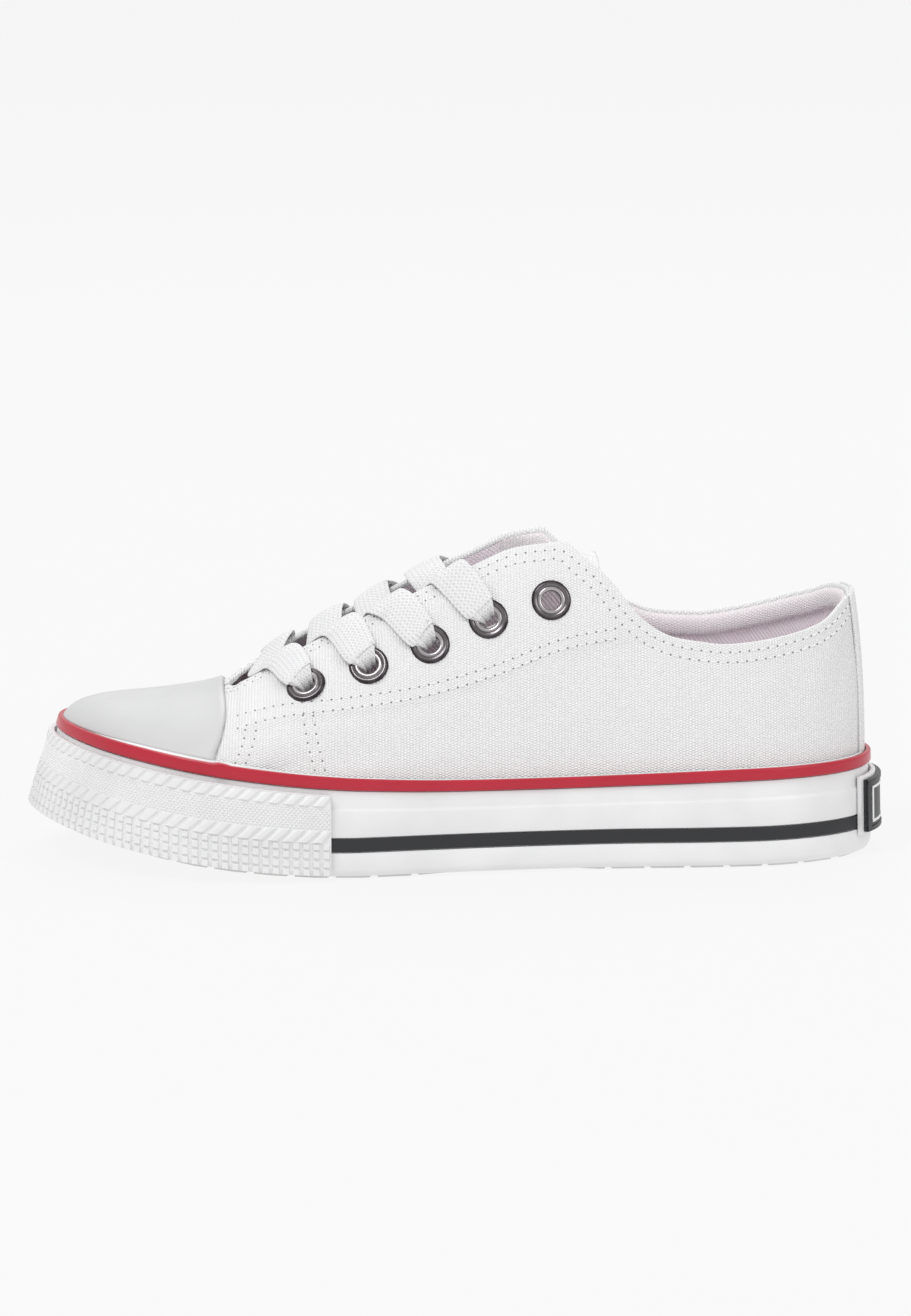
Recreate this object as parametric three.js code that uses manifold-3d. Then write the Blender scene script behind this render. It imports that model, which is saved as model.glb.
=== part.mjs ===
// Low-top canvas sneaker for the left foot. Millimetres, +Z up, the toe points along -X and the
// lateral side faces -Y. The floor is z = 0 and the origin is the middle of the footprint.
import * as THREE from 'three';
import { mergeVertices } from 'three/addons/utils/BufferGeometryUtils.js';
import Module from 'manifold-3d';

const wasm = await Module();
wasm.setup();

// Driving dimensions of the last and the sole.
const soleLength = 255;
const ballWidth = 92;
const instepHeight = 98;
const heelHeight = 82;
const toeSpring = 13;
const archRise = 1.8;

// Walls, layers and the clearance that neighbours keep.
const gap = 0.3;
const upperWall = 2;
const eyestayStep = 0.5;
const capThickness = 1.1;
const backstayThickness = 0.8;
const backstayHalfWidth = 9.5;
const foxingThickness = 3;
const foxingHeight = 30.6;
const foxingLift = 0.9;
const foxingClear = 0.5;
const footRound = 2.7;
const wallLean = 0.8;
const toeLean = 7.6;
const toeInset = 5.2;
const stepHeight = 20.8;
const stepDepth = 0.5;
const outsoleThickness = 12;
const insoleThickness = 3;
const redHeight = 3.6;
const redDepth = 1.1;
const redProud = 0.4;
const stripeBottom = 8.5;
const stripeHeight = 4;
const stripeDepth = 0.8;
const stripeProud = 0.1;
const bumperThickness = 1.7;
const bumperHeight = 25.6;
const bumperRib = 0.5;
const studPitch = 2.5;
const labelBottom = 7.5;
const labelHeight = 16;
const labelHalfWidth = 15.5;
const labelMargin = 1;
const labelThickness = 1.4;

// Tread.
const grooveWidth = 2.4;
const grooveDepth = 2;
const groovePitch = 12;

// Lacing and tongue.
const eyeletRadius = 5.9;
const eyeletBore = 2.9;
const eyeletBarrel = 0.5;
const eyeletFlange = 0.9;
const eyeletBackRadius = 4.5;
const laceWidth = 12;
const laceThickness = 1;
const laceClear = 1.2;
const tongueThickness = 1.6;

// Places along the shoe, as shares of the sole's length from the heel.
const bumperEnd = 0.65;
const capEnd = 0.772;
const springStart = 0.616;
const archFrom = 0.32;
const archTo = 0.55;

// Colours of the materials.
const canvasWhite = 0xf0eff0;
const rubberWhite = 0xf3f2f1;
const capWhite = 0xe4e5e8;
const red = 0xc0182f;
const black = 0x2a2b2d;
const gunmetal = 0x4b4d50;

// The plan is moved so that the origin is the middle of the whole footprint.
const labelProud = 2 * gap + 2 * labelThickness;
const bumperProud = gap + bumperThickness;
const heelX = soleLength / 2 - (labelProud - bumperProud) / 2;
const sideShift = 0.0095 * ballWidth;

// Plan of the sole. The half width is `fullness` times the sine of the angle round the plan, so that
// heel and toe close as round ends. Both columns are shares of ballWidth.
const planRows = [
  { fromHeel: 0, centre: 0, fullness: 0.62 },
  { fromHeel: 0.05, centre: 0, fullness: 0.575 },
  { fromHeel: 0.12, centre: 0, fullness: 0.522 },
  { fromHeel: 0.2, centre: -0.003, fullness: 0.452 },
  { fromHeel: 0.3, centre: -0.014, fullness: 0.388 },
  { fromHeel: 0.4, centre: -0.03, fullness: 0.368 },
  { fromHeel: 0.5, centre: -0.038, fullness: 0.386 },
  { fromHeel: 0.6, centre: -0.033, fullness: 0.443 },
  { fromHeel: 0.7, centre: -0.016, fullness: 0.528 },
  { fromHeel: 0.8, centre: 0, fullness: 0.611 },
  { fromHeel: 0.87, centre: 0.016, fullness: 0.663 },
  { fromHeel: 0.93, centre: 0.038, fullness: 0.703 },
  { fromHeel: 1, centre: 0.087, fullness: 0.717 },
];

// Ridge of the closed last form, over which throat and collar are cut. `height` is a share of
// instepHeight, and `square` is the exponent of the rounded section below it.
const ridgeRows = [
  { fromHeel: 0.12, height: 1.204, square: 2.4 },
  { fromHeel: 0.26, height: 1.184, square: 2.15 },
  { fromHeel: 0.32, height: 1.14, square: 2.4 },
  { fromHeel: 0.375, height: 1.073, square: 2.6 },
  { fromHeel: 0.434, height: 1.025, square: 2.6 },
  { fromHeel: 0.47, height: 0.976, square: 2.5 },
  { fromHeel: 0.533, height: 0.885, square: 2.45 },
  { fromHeel: 0.6, height: 0.788, square: 2.4 },
  { fromHeel: 0.683, height: 0.668, square: 2.4 },
  { fromHeel: 0.735, height: 0.577, square: 2.35 },
  { fromHeel: 0.775, height: 0.518, square: 2.3 },
  { fromHeel: 0.834, height: 0.488, square: 2.3 },
  { fromHeel: 0.893, height: 0.474, square: 2.4 },
  { fromHeel: 0.91, height: 0.467, square: 2.4 },
];
// Rise of the foxing's top edge over its even height, as shares of foxingHeight.
const topRows = [
  { fromHeel: 0, rise: 0 },
  { fromHeel: 0.15, rise: -0.01 },
  { fromHeel: 0.35, rise: -0.058 },
  { fromHeel: 0.52, rise: -0.05 },
  { fromHeel: 0.66, rise: 0.02 },
  { fromHeel: 0.8, rise: 0.065 },
  { fromHeel: 0.9, rise: 0.05 },
  { fromHeel: 1, rise: -0.02 },
];

// Edges of the bumper's raised bands over its ribs, as shares of bumperHeight.
const bumperRows = [
  { edge: 0.465, raised: true },
  { edge: 0.59, raised: true },
  { edge: 0.602, raised: false },
  { edge: 0.856, raised: false },
  { edge: 0.871, raised: true },
  { edge: 0.988, raised: true },
];

// Rear edge of the toe cap over the foxing: places from capEnd, heights of instepHeight.
const capRearRows = [
  { behind: 0.003, up: 0.43 },
  { behind: -0.002, up: 0.49 },
  { behind: 0.002, up: 0.56 },
  { behind: 0.002, up: 1 },
];
const capFoot = 0.016;

const heelPull = 0.1206;
const toePull = 0.0905;
const sectionRise = 20;

// Collar line from the top of the eyestay to the top of the heel, seen from each side.
// Places are shares of soleLength from the heel, heights are shares of heelHeight.
const collarRows = [
  { lateral: 0.55, lateralUp: 1.29, medial: 0.57, medialUp: 1.3 },
  { lateral: 0.406, lateralUp: 1.207, medial: 0.446, medialUp: 1.217 },
  { lateral: 0.366, lateralUp: 1.193, medial: 0.412, medialUp: 1.205 },
  { lateral: 0.348, lateralUp: 1.146, medial: 0.39, medialUp: 1.155 },
  { lateral: 0.317, lateralUp: 1.06, medial: 0.34, medialUp: 1.01 },
  { lateral: 0.289, lateralUp: 0.963, medial: 0.3, medialUp: 0.9 },
  { lateral: 0.253, lateralUp: 0.866, medial: 0.262, medialUp: 0.842 },
  { lateral: 0.21, lateralUp: 0.826, medial: 0.215, medialUp: 0.824 },
  { lateral: 0.18, lateralUp: 0.817, medial: 0.18, medialUp: 0.828 },
  { lateral: 0.123, lateralUp: 0.834, medial: 0.123, medialUp: 0.868 },
  { lateral: 0.067, lateralUp: 0.876, medial: 0.067, medialUp: 0.938 },
  { lateral: 0.04, lateralUp: 0.93, medial: 0.04, medialUp: 0.985 },
  { lateral: -0.02, lateralUp: 1.02, medial: -0.02, medialUp: 1.03 },
];
const collarHalfSpan = 28;

// Half width of the throat from its round front end to the collar, as shares of ballWidth.
const throatRows = [
  { fromHeel: 0.766, half: 0.012 },
  { fromHeel: 0.763, half: 0.05 },
  { fromHeel: 0.755, half: 0.086 },
  { fromHeel: 0.733, half: 0.112 },
  { fromHeel: 0.683, half: 0.132 },
  { fromHeel: 0.6, half: 0.14 },
  { fromHeel: 0.53, half: 0.146 },
  { fromHeel: 0.46, half: 0.155 },
  { fromHeel: 0.37, half: 0.178 },
  { fromHeel: 0.25, half: 0.2 },
];

// Lower edge of the eyestay, seen from the side. Heights are shares of instepHeight.
const eyestayRows = [
  { fromHeel: 0.757, up: 0.44 },
  { fromHeel: 0.7, up: 0.48 },
  { fromHeel: 0.62, up: 0.505 },
  { fromHeel: 0.54, up: 0.535 },
  { fromHeel: 0.46, up: 0.59 },
  { fromHeel: 0.38, up: 0.665 },
  { fromHeel: 0.3, up: 0.71 },
];

// Eyelets from the toe upward: place from the heel, and how far round the section they sit.
const eyeletRows = [
  { fromHeel: 0.6753, round: 0.51 },
  { fromHeel: 0.6008, round: 0.48 },
  { fromHeel: 0.5267, round: 0.455 },
  { fromHeel: 0.457, round: 0.45 },
  { fromHeel: 0.3813, round: 0.455 },
];
const medialAhead = 0.022;

// Tongue: depth of its middle under the ridge as a share of instepHeight, half width of ballWidth.
const tongueRows = [
  { fromHeel: 0.785, drop: 0.033, half: 0.19 },
  { fromHeel: 0.76, drop: 0.036, half: 0.19 },
  { fromHeel: 0.735, drop: 0.048, half: 0.195 },
  { fromHeel: 0.675, drop: 0.056, half: 0.2 },
  { fromHeel: 0.6, drop: 0.064, half: 0.2 },
  { fromHeel: 0.533, drop: 0.082, half: 0.198 },
  { fromHeel: 0.47, drop: 0.112, half: 0.2 },
  { fromHeel: 0.418, drop: 0.142, half: 0.203 },
  { fromHeel: 0.375, drop: 0.168, half: 0.203 },
  { fromHeel: 0.33, drop: 0.212, half: 0.2 },
];
const tongueArch = 0.0103;

// A lace from the throat's edge to the eyelet that it enters: place between the two, way out from
// the edge and width as shares of laceWidth, and rise over the eyestay of laceThickness.
const laceEndRows = [
  { between: 0, outward: 0, rise: 1.7, width: 1 },
  { between: 0.3, outward: 0.333, rise: 1.5, width: 0.9 },
  { between: 0.7, outward: 0.667, rise: 2.3, width: 0.75 },
];

// Rows of lacing over the tongue: how far the lace leans toward the toe at the throat's edge, as a
// share of soleLength, and how high the laces to the lateral and to the medial side ride over the
// middle of the tongue.
const laceRows = [
  { lean: 0.038, rise: 2, medialRise: 2 },
  { lean: 0.033, rise: 1.6, medialRise: 3.4 },
  { lean: 0.046, rise: 1.2, medialRise: 4 },
  { lean: 0.042, rise: 2.5, medialRise: 8 },
];

// Resolution: stations from heel to toe on one side, and rows up the section.
const stations = 28;
const sectionRows = 8;
const eyeletFacets = 8;
const collarSteps = 24;

const lateral = -1;
const medial = 1;

// Value of a table's column at a place, by a smooth curve through its rows.
function read(rows, column, at) {
  const last = rows.length - 1;
  const rising = rows[last].fromHeel > rows[0].fromHeel ? 1 : -1;
  let i = 0;
  while (i < last - 1 && rising * (at - rows[i + 1].fromHeel) > 0) i += 1;
  const slope = (j) => {
    const before = rows[Math.max(j - 1, 0)];
    const after = rows[Math.min(j + 1, last)];
    return (after[column] - before[column]) / (after.fromHeel - before.fromHeel);
  };
  const span = rows[i + 1].fromHeel - rows[i].fromHeel;
  const t = THREE.MathUtils.clamp((at - rows[i].fromHeel) / span, 0, 1);
  const start = rows[i][column] * (1 + 2 * t) * (1 - t) ** 2;
  const end = rows[i + 1][column] * t * t * (3 - 2 * t);
  return start + end + span * (slope(i) * t * (1 - t) ** 2 + slope(i + 1) * t * t * (t - 1));
}

const shareOf = (x) => (heelX - x) / soleLength;
const xAt = (share) => heelX - share * soleLength;
const centreAt = (share) => sideShift + ballWidth * read(planRows, 'centre', share);

// Rise of the sole's underside toward the toe.
function spring(x) {
  const t = Math.max(0, (shareOf(x) - springStart) / (1 - springStart));
  return toeSpring * t ** 1.6;
}

// How near to the toe tip a share lies, from 0 behind the toe to 1 at the tip.
const toeness = (share) => THREE.MathUtils.smoothstep(share, 0.78, 1);

// Point of the sole's plan. The turn runs from the heel over the lateral side to the toe at pi and
// back over the medial side.
function rimBase(turn) {
  const angle = turn <= Math.PI ? turn : 2 * Math.PI - turn;
  const side = turn <= Math.PI ? lateral : medial;
  const share = (1 - Math.cos(angle)) / 2;
  const half = ballWidth * read(planRows, 'fullness', share) * Math.sin(angle);
  return new THREE.Vector2(xAt(share), centreAt(share) + side * half);
}

function rim(turn, inset) {
  const nudge = 0.01;
  const ahead = rimBase((turn + nudge) % (2 * Math.PI));
  const behind = rimBase((turn - nudge + 2 * Math.PI) % (2 * Math.PI));
  const along = ahead.sub(behind).normalize();
  return rimBase(turn).add(new THREE.Vector2(along.y, -along.x).multiplyScalar(inset));
}

const turnShare = (turn) => (1 - Math.cos(turn)) / 2;
const turnAt = (side, share) => {
  const angle = Math.acos(1 - 2 * share);
  return side === lateral ? angle : 2 * Math.PI - angle;
};

// The wall of the sole above the stripe follows the rise of its top edge.
function wallHeight(share, height) {
  const stripeTop = stripeBottom + stripeHeight;
  const part = Math.max(0, (height - stripeTop) / (foxingHeight - stripeTop));
  return height + part * foxingHeight * read(topRows, 'rise', share);
}

// The wall of the sole leans in with its height, most of all at the toe.
function wallPoint(turn, inset, height) {
  const lean = wallLean + toeLean * toeness(turnShare(turn));
  const p = rim(turn, inset + (lean * height) / foxingHeight);
  return new THREE.Vector3(p.x, p.y, spring(p.x) + wallHeight(turnShare(turn), height));
}

// Ridge point over a station of the plan.
function ridge(turn) {
  const c = Math.cos(turn);
  const pull = (c > 0 ? heelPull : -toePull) * soleLength;
  const x = xAt(turnShare(turn)) - pull * c ** 4;
  const share = shareOf(x);
  return new THREE.Vector3(x, centreAt(share), instepHeight * read(ridgeRows, 'height', share));
}

// Point of the last form: `round` runs from the top of the upright wall at 0 to the ridge at 1.
// `grow` moves the form outward.
function formPoint(turn, round, grow) {
  const crest = ridge(turn);
  crest.z += grow;
  if (round >= 1) return crest;
  const share = turnShare(turn);
  const foot = rim(turn, foxingThickness + gap + toeInset * toeness(share) - grow);
  const low = spring(foot.x) + sectionRise;
  const power = 2 / read(ridgeRows, 'square', shareOf(crest.x));
  const angle = (round * Math.PI) / 2;
  const out = Math.cos(angle) ** power;
  const up = Math.sin(angle) ** power;
  return new THREE.Vector3(
    THREE.MathUtils.lerp(crest.x, foot.x, out),
    THREE.MathUtils.lerp(crest.y, foot.y, out),
    THREE.MathUtils.lerp(low, crest.z, up),
  );
}

function formFoot(turn, grow, height) {
  const p = formPoint(turn, 0, grow);
  p.z += height - sectionRise;
  return p;
}

// Turn of the section on one side that reaches a share of the length at a given place round it.
function turnOnForm(side, share, round) {
  let low = 0;
  let high = Math.PI;
  for (let i = 0; i < 40; i += 1) {
    const middle = (low + high) / 2;
    const turn = side === lateral ? middle : 2 * Math.PI - middle;
    if (shareOf(formPoint(turn, round, 0).x) < share) low = middle;
    else high = middle;
  }
  return side === lateral ? low : 2 * Math.PI - low;
}

// Height of the form over a place in the plan.
function formHeight(share, y, grow) {
  const side = y < centreAt(share) ? lateral : medial;
  let low = 0;
  let high = 1;
  for (let i = 0; i < 30; i += 1) {
    const middle = (low + high) / 2;
    const p = formPoint(turnOnForm(side, share, middle), middle, 0);
    if (side * (p.y - y) > 0) low = middle;
    else high = middle;
  }
  return formPoint(turnOnForm(side, share, low), low, grow).z;
}

// A closed geometry from points and triangles, turned so that its faces point out.
function closedGeometry(points, triangles) {
  const flat = new THREE.BufferGeometry().setFromPoints(points);
  flat.setIndex(triangles.flat());
  const merged = mergeVertices(flat, 1e-3);
  const place = merged.attributes.position;
  const corner = (i) => new THREE.Vector3().fromBufferAttribute(place, i);
  const kept = [];
  let volume = 0;
  for (let i = 0; i < merged.index.count; i += 3) {
    const [a, b, c] = [0, 1, 2].map((j) => merged.index.getX(i + j));
    if (a !== b && b !== c && c !== a) {
      kept.push([a, b, c]);
      volume += corner(a).dot(corner(b).cross(corner(c)));
    }
  }
  merged.setIndex(kept.map(([a, b, c]) => (volume > 0 ? [a, b, c] : [a, c, b])).flat());
  merged.computeVertexNormals();
  return merged;
}

// Skin over a row of sections with the same number of points. A ring joins the last to the first,
// and an open row is closed by the caps that `capFaces` lists.
function loft(sections, capFaces) {
  const count = sections[0].length;
  const isRing = capFaces === undefined;
  const triangles = [];
  for (let i = 0; i < sections.length - (isRing ? 0 : 1); i += 1) {
    const near = i * count;
    const far = ((i + 1) % sections.length) * count;
    for (let j = 0; j < count; j += 1) {
      const k = (j + 1) % count;
      triangles.push([near + j, near + k, far + k], [near + j, far + k, far + j]);
    }
  }
  if (!isRing) {
    const end = (sections.length - 1) * count;
    for (const [a, b, c] of capFaces) triangles.push([a, c, b], [end + a, end + b, end + c]);
  }
  return closedGeometry(sections.flat(), triangles);
}

// Triangles of a flat end, wound the same way as its outline.
function flatCap(outline) {
  const points = outline.map(([u, v]) => new THREE.Vector2(u, v));
  const faces = THREE.ShapeUtils.triangulateShape(points, []);
  const turnOf = (corners) => Math.sign(THREE.ShapeUtils.area(corners));
  const isTurned = turnOf(points) !== turnOf(faces[0].map((i) => points[i]));
  return isTurned ? faces.map(([a, b, c]) => [a, c, b]) : faces;
}

// Turns of the stations round the plan.
const turns = Array.from({ length: 2 * stations }, (_, i) => (i * Math.PI) / stations);

// Rings round the plan, one above the other, closed at both ends by strips across the shoe.
function stack(rings) {
  const across = [];
  for (let k = 0; k < stations; k += 1) {
    const back = (2 * stations - k) % (2 * stations);
    across.push([k, k + 1, 2 * stations - k - 1]);
    across.push([k, 2 * stations - k - 1, back]);
  }
  return loft(rings, across);
}

// The last form as a solid that starts at a height over the sole's underside.
function form(grow, bottom) {
  const rings = [turns.map((turn) => formFoot(turn, grow, bottom))];
  for (let j = 0; j <= sectionRows; j += 1) {
    const round = (j / sectionRows) ** 1.2;
    rings.push(turns.map((turn) => formPoint(turn, round, grow)));
  }
  return solid(stack(rings));
}

function solid(geometry) {
  const bare = geometry.clone();
  bare.deleteAttribute('normal');
  bare.deleteAttribute('uv');
  const merged = mergeVertices(bare, 1e-3);
  return new wasm.Manifold(new wasm.Mesh({
    numProp: 3,
    vertProperties: new Float32Array(merged.attributes.position.array),
    triVerts: new Uint32Array(merged.index.array),
  }));
}

function geometryOf(body) {
  const mesh = body.getMesh();
  const geometry = new THREE.BufferGeometry();
  geometry.setAttribute('position', new THREE.BufferAttribute(new Float32Array(mesh.vertProperties), 3));
  geometry.setIndex(new THREE.BufferAttribute(new Uint32Array(mesh.triVerts), 1));
  geometry.computeVertexNormals();
  return geometry;
}

// Solid across the whole shoe from an outline in the side view.
function sidePrism(outline) {
  const reach = ballWidth;
  const sections = [-reach, reach].map((y) => outline.map(([x, z]) => new THREE.Vector3(x, y, z)));
  return solid(loft(sections, flatCap(outline)));
}

// Upright solid from an outline in the plan.
function planPrism(outline, bottom, top) {
  const sections = [bottom, top].map((z) => outline.map(([x, y]) => new THREE.Vector3(x, y, z)));
  return solid(loft(sections, flatCap(outline)));
}

// Smooth line through points, at even steps from point to point.
const smoothLine = (points, steps) => new THREE.SplineCurve(points).getPoints(steps).map((p) => [p.x, p.y]);

// Everything above the collar line.
function collarCutter() {
  const sky = 2 * instepHeight;
  const outlineAt = (y) => {
    const t = (y + collarHalfSpan) / (2 * collarHalfSpan);
    const line = smoothLine(collarRows.map((row) => new THREE.Vector2(
      xAt(THREE.MathUtils.lerp(row.lateral, row.medial, t)),
      heelHeight * THREE.MathUtils.lerp(row.lateralUp, row.medialUp, t),
    )), collarSteps);
    return [...line, [line[line.length - 1][0], sky], [line[0][0], sky]];
  };
  const reach = 2 * collarHalfSpan;
  const sections = [-reach, reach].map((y) => outlineAt(y).map(([x, z]) => new THREE.Vector3(x, y, z)));
  return solid(loft(sections, flatCap(outlineAt(0))));
}

function throatCutter() {
  const edge = (side) => throatRows.map((row) => [
    xAt(row.fromHeel),
    centreAt(row.fromHeel) + side * row.half * ballWidth,
  ]);
  const outline = [...edge(lateral), ...edge(medial).reverse()];
  return planPrism(outline, instepHeight / 3, 2 * instepHeight);
}

function eyestayRegion() {
  const line = eyestayRows.map((row) => [xAt(row.fromHeel), row.up * instepHeight]);
  const sky = 2 * instepHeight;
  return sidePrism([...line, [line[line.length - 1][0], sky], [line[0][0], sky]]);
}

// Placement of an eyelet: its axis is the outward normal of the eyestay.
function eyeletMatrix(side, row) {
  const share = row.fromHeel + (side === medial ? medialAhead : 0);
  const turn = turnOnForm(side, share, row.round);
  const centre = formPoint(turn, row.round, eyestayStep);
  const nudge = 0.02;
  const outside = (across, up) => formPoint(turn + across, row.round + up, eyestayStep);
  const along = outside(nudge, 0).sub(outside(-nudge, 0));
  const up = outside(0, nudge).sub(outside(0, -nudge));
  const normal = along.cross(up).normalize();
  if (normal.z < 0) normal.negate();
  const turnTo = new THREE.Quaternion().setFromUnitVectors(new THREE.Vector3(0, 0, 1), normal);
  return new THREE.Matrix4().compose(centre, turnTo, new THREE.Vector3(1, 1, 1));
}

// Round solid about the Z axis from a profile of radii and heights.
function lathe(profile, facets) {
  const outline = profile.map(([radius, height]) => new THREE.Vector2(radius, height));
  const turned = new THREE.LatheGeometry(outline, facets).rotateX(Math.PI / 2);
  const place = turned.attributes.position;
  const points = [];
  for (let i = 0; i < place.count; i += 1) points.push(new THREE.Vector3().fromBufferAttribute(place, i));
  const corners = Array.from(turned.index.array);
  const triangles = corners.flatMap((_, i) => (i % 3 ? [] : [corners.slice(i, i + 3)]));
  return closedGeometry(points, triangles);
}

// Flat seats that the eyelet clamps, sunk a little into both faces of the eyestay, and its hole.
const seatSink = 0.35;
const eyestayWall = upperWall + eyestayStep;
function eyeletSeat() {
  const away = 8;
  const hole = eyeletBore + eyeletBarrel + gap;
  return lathe([
    [0, away],
    [eyeletRadius + gap, away],
    [eyeletRadius + gap, -seatSink],
    [hole, -seatSink],
    [hole, seatSink - eyestayWall],
    [eyeletBackRadius + gap, seatSink - eyestayWall],
    [eyeletBackRadius + gap, -away],
    [0, -away],
  ], eyeletFacets);
}

function eyeletRing() {
  const front = gap - seatSink;
  const back = seatSink - eyestayWall - gap;
  const barrel = eyeletBore + eyeletBarrel;
  return lathe([
    [eyeletBore, front + eyeletFlange],
    [eyeletRadius - eyeletFlange, front + eyeletFlange],
    [eyeletRadius, front],
    [barrel, front],
    [barrel, back],
    [eyeletBackRadius, back],
    [eyeletBackRadius, back - eyeletBarrel],
    [eyeletBore, back - eyeletBarrel],
    [eyeletBore, front + eyeletFlange],
  ], eyeletFacets);
}

function upper() {
  const bottom = outsoleThickness + gap;
  const raised = form(eyestayStep, bottom).intersect(eyestayRegion());
  let body = form(0, bottom).add(raised);
  body = body.subtract(form(-upperWall, bottom / 2));
  body = body.subtract(collarCutter()).subtract(throatCutter());
  for (const side of [lateral, medial]) {
    for (const row of eyeletRows) {
      body = body.subtract(solid(eyeletSeat().applyMatrix4(eyeletMatrix(side, row))));
    }
  }
  return geometryOf(body);
}

// Outline over the foxing's top edge from the toe back to a rear edge, in the side view.
function overFoxing(fromShare, rearEdge) {
  const steps = 8;
  const front = 1.05;
  const edge = Array.from({ length: steps + 1 }, (_, i) => {
    const x = xAt(THREE.MathUtils.lerp(front, fromShare, i / steps));
    return [x, spring(x) + wallHeight(Math.min(shareOf(x), 1), foxingHeight) + gap];
  });
  return [...edge, ...rearEdge, [xAt(front), instepHeight]];
}

function toeCap() {
  const edge = capRearRows.map((row) => [xAt(capEnd + row.behind), row.up * instepHeight]);
  const outline = overFoxing(capEnd + capFoot, edge);
  const shell = form(gap + capThickness, sectionRise / 2).subtract(form(gap, sectionRise / 4));
  return geometryOf(shell.intersect(sidePrism(outline)));
}

function backstay() {
  const foot = wallHeight(0, foxingHeight) + gap;
  const front = xAt(0.1);
  const back = heelX + foxingThickness;
  const strip = planPrism([
    [front, sideShift - backstayHalfWidth],
    [front, sideShift + backstayHalfWidth],
    [back, sideShift + backstayHalfWidth],
    [back, sideShift - backstayHalfWidth],
  ], foot, 2 * heelHeight);
  const shell = form(gap + backstayThickness, sectionRise / 2).subtract(form(gap, sectionRise / 4));
  return geometryOf(shell.intersect(strip).subtract(collarCutter()));
}

// Wall round the sole. It has seats for the strip and the stripe, a step line and a rounded foot.
function foxing() {
  const top = foxingHeight;
  const redSeat = top - redHeight - gap;
  const stripeTop = stripeBottom + stripeHeight;
  const outer = [
    [footRound * 0.55, foxingLift],
    [footRound * 0.11, foxingLift + footRound * 0.37],
    [0, foxingLift + footRound],
    [0, stripeBottom - gap],
    [stripeDepth, stripeBottom - gap],
    [stripeDepth, stripeTop + gap],
    [0, stripeTop + gap],
    [0, stepHeight],
    [stepDepth, stepHeight + stepDepth],
    [stepDepth, redSeat],
    [redDepth + gap, redSeat],
    [redDepth + gap, top],
  ];
  const inner = (turn) => {
    const crown = wallHeight(turnShare(turn), top);
    const heights = [1, 0.67, 0.33, 0].map((t) => THREE.MathUtils.lerp(sectionRise, crown, t));
    return [...heights, foxingLift].map((height) => formAtHeight(turn, height));
  };
  return loft(turns.map((turn) => [
    ...outer.map(([inset, height]) => wallPoint(turn, inset, height)),
    ...inner(turn),
  ]));
}

// Point just outside the upper, at a height over the sole's underside.
function formAtHeight(turn, height) {
  if (height <= sectionRise) return formFoot(turn, gap, height);
  let low = 0;
  let high = 1;
  for (let i = 0; i < 40; i += 1) {
    const middle = (low + high) / 2;
    const p = formPoint(turn, middle, foxingClear);
    if (p.z - spring(p.x) < height) low = middle;
    else high = middle;
  }
  return formPoint(turn, low, foxingClear);
}

function redStrip() {
  const top = foxingHeight;
  const bottom = top - redHeight;
  const profile = [
    [redDepth, bottom],
    [-redProud, bottom],
    [-redProud, top],
    [redDepth, top],
  ];
  return loft(turns.map((turn) => profile.map(([inset, height]) => wallPoint(turn, inset, height))));
}

// Band on the sole's wall between two turns, with a profile of insets and heights.
function band(from, to, profile) {
  const between = turns.map((turn) => (turn < from ? turn + 2 * Math.PI : turn))
    .filter((turn) => turn > from + 0.02 && turn < to - 0.02)
    .sort((a, b) => a - b);
  const places = [from, ...between, to];
  const sections = places.map((turn) => profile.map(
    ([inset, height]) => wallPoint(turn % (2 * Math.PI), inset, height)));
  return loft(sections, flatCap(profile));
}

function blackStripe() {
  const clear = 0.0015;
  const from = turnAt(medial, bumperEnd - clear);
  const to = 2 * Math.PI + turnAt(lateral, bumperEnd - clear);
  return band(from, to, [
    [stripeDepth - gap, stripeBottom],
    [-stripeProud, stripeBottom],
    [-stripeProud, stripeBottom + stripeHeight],
    [stripeDepth - gap, stripeBottom + stripeHeight],
  ]);
}

// Toe bumper with its raised bands and the ribs below them, which carry the studs.
function toeBumper() {
  const face = -gap - bumperThickness;
  const low = face + bumperRib;
  const top = bumperHeight;
  const bottom = foxingLift + 2 * gap;
  const back = -1.5 * gap;
  const profile = [
    [back, bottom],
    [low + bumperRib, bottom],
  ];
  for (let i = 0; i < 4; i += 1) {
    const foot = bottom + gap + i * studPitch;
    profile.push([low, foot], [face, foot + studPitch / 2], [low, foot + 0.8 * studPitch]);
  }
  for (const { edge, raised } of bumperRows) profile.push([raised ? face : low, edge * top]);
  profile.push([face + bumperRib, top], [back, top], [back, stepHeight], [back, stripeBottom + stripeHeight]);
  return band(turnAt(lateral, bumperEnd), turnAt(medial, bumperEnd), profile);
}

// Plate on the heel between two insets.
function heelPlate(halfWidth, bottom, top, near, far) {
  const reach = turnAtSide(halfWidth);
  return band(2 * Math.PI - reach, 2 * Math.PI + reach, [
    [near, bottom],
    [far, bottom],
    [far, top],
    [near, top],
  ]);
}

// Turn from the heel's middle to a distance to its side.
function turnAtSide(distance) {
  let turn = 0;
  while (Math.abs(rimBase(turn).y - sideShift) < distance) turn += 0.001;
  return turn;
}

const plateFace = -gap - labelThickness;
const labelBase = () => heelPlate(labelHalfWidth + labelMargin, labelBottom - labelMargin,
  labelBottom + labelHeight + labelMargin, -gap, plateFace);
const labelPlate = () => heelPlate(labelHalfWidth, labelBottom, labelBottom + labelHeight,
  plateFace - gap, -labelProud);

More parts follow.
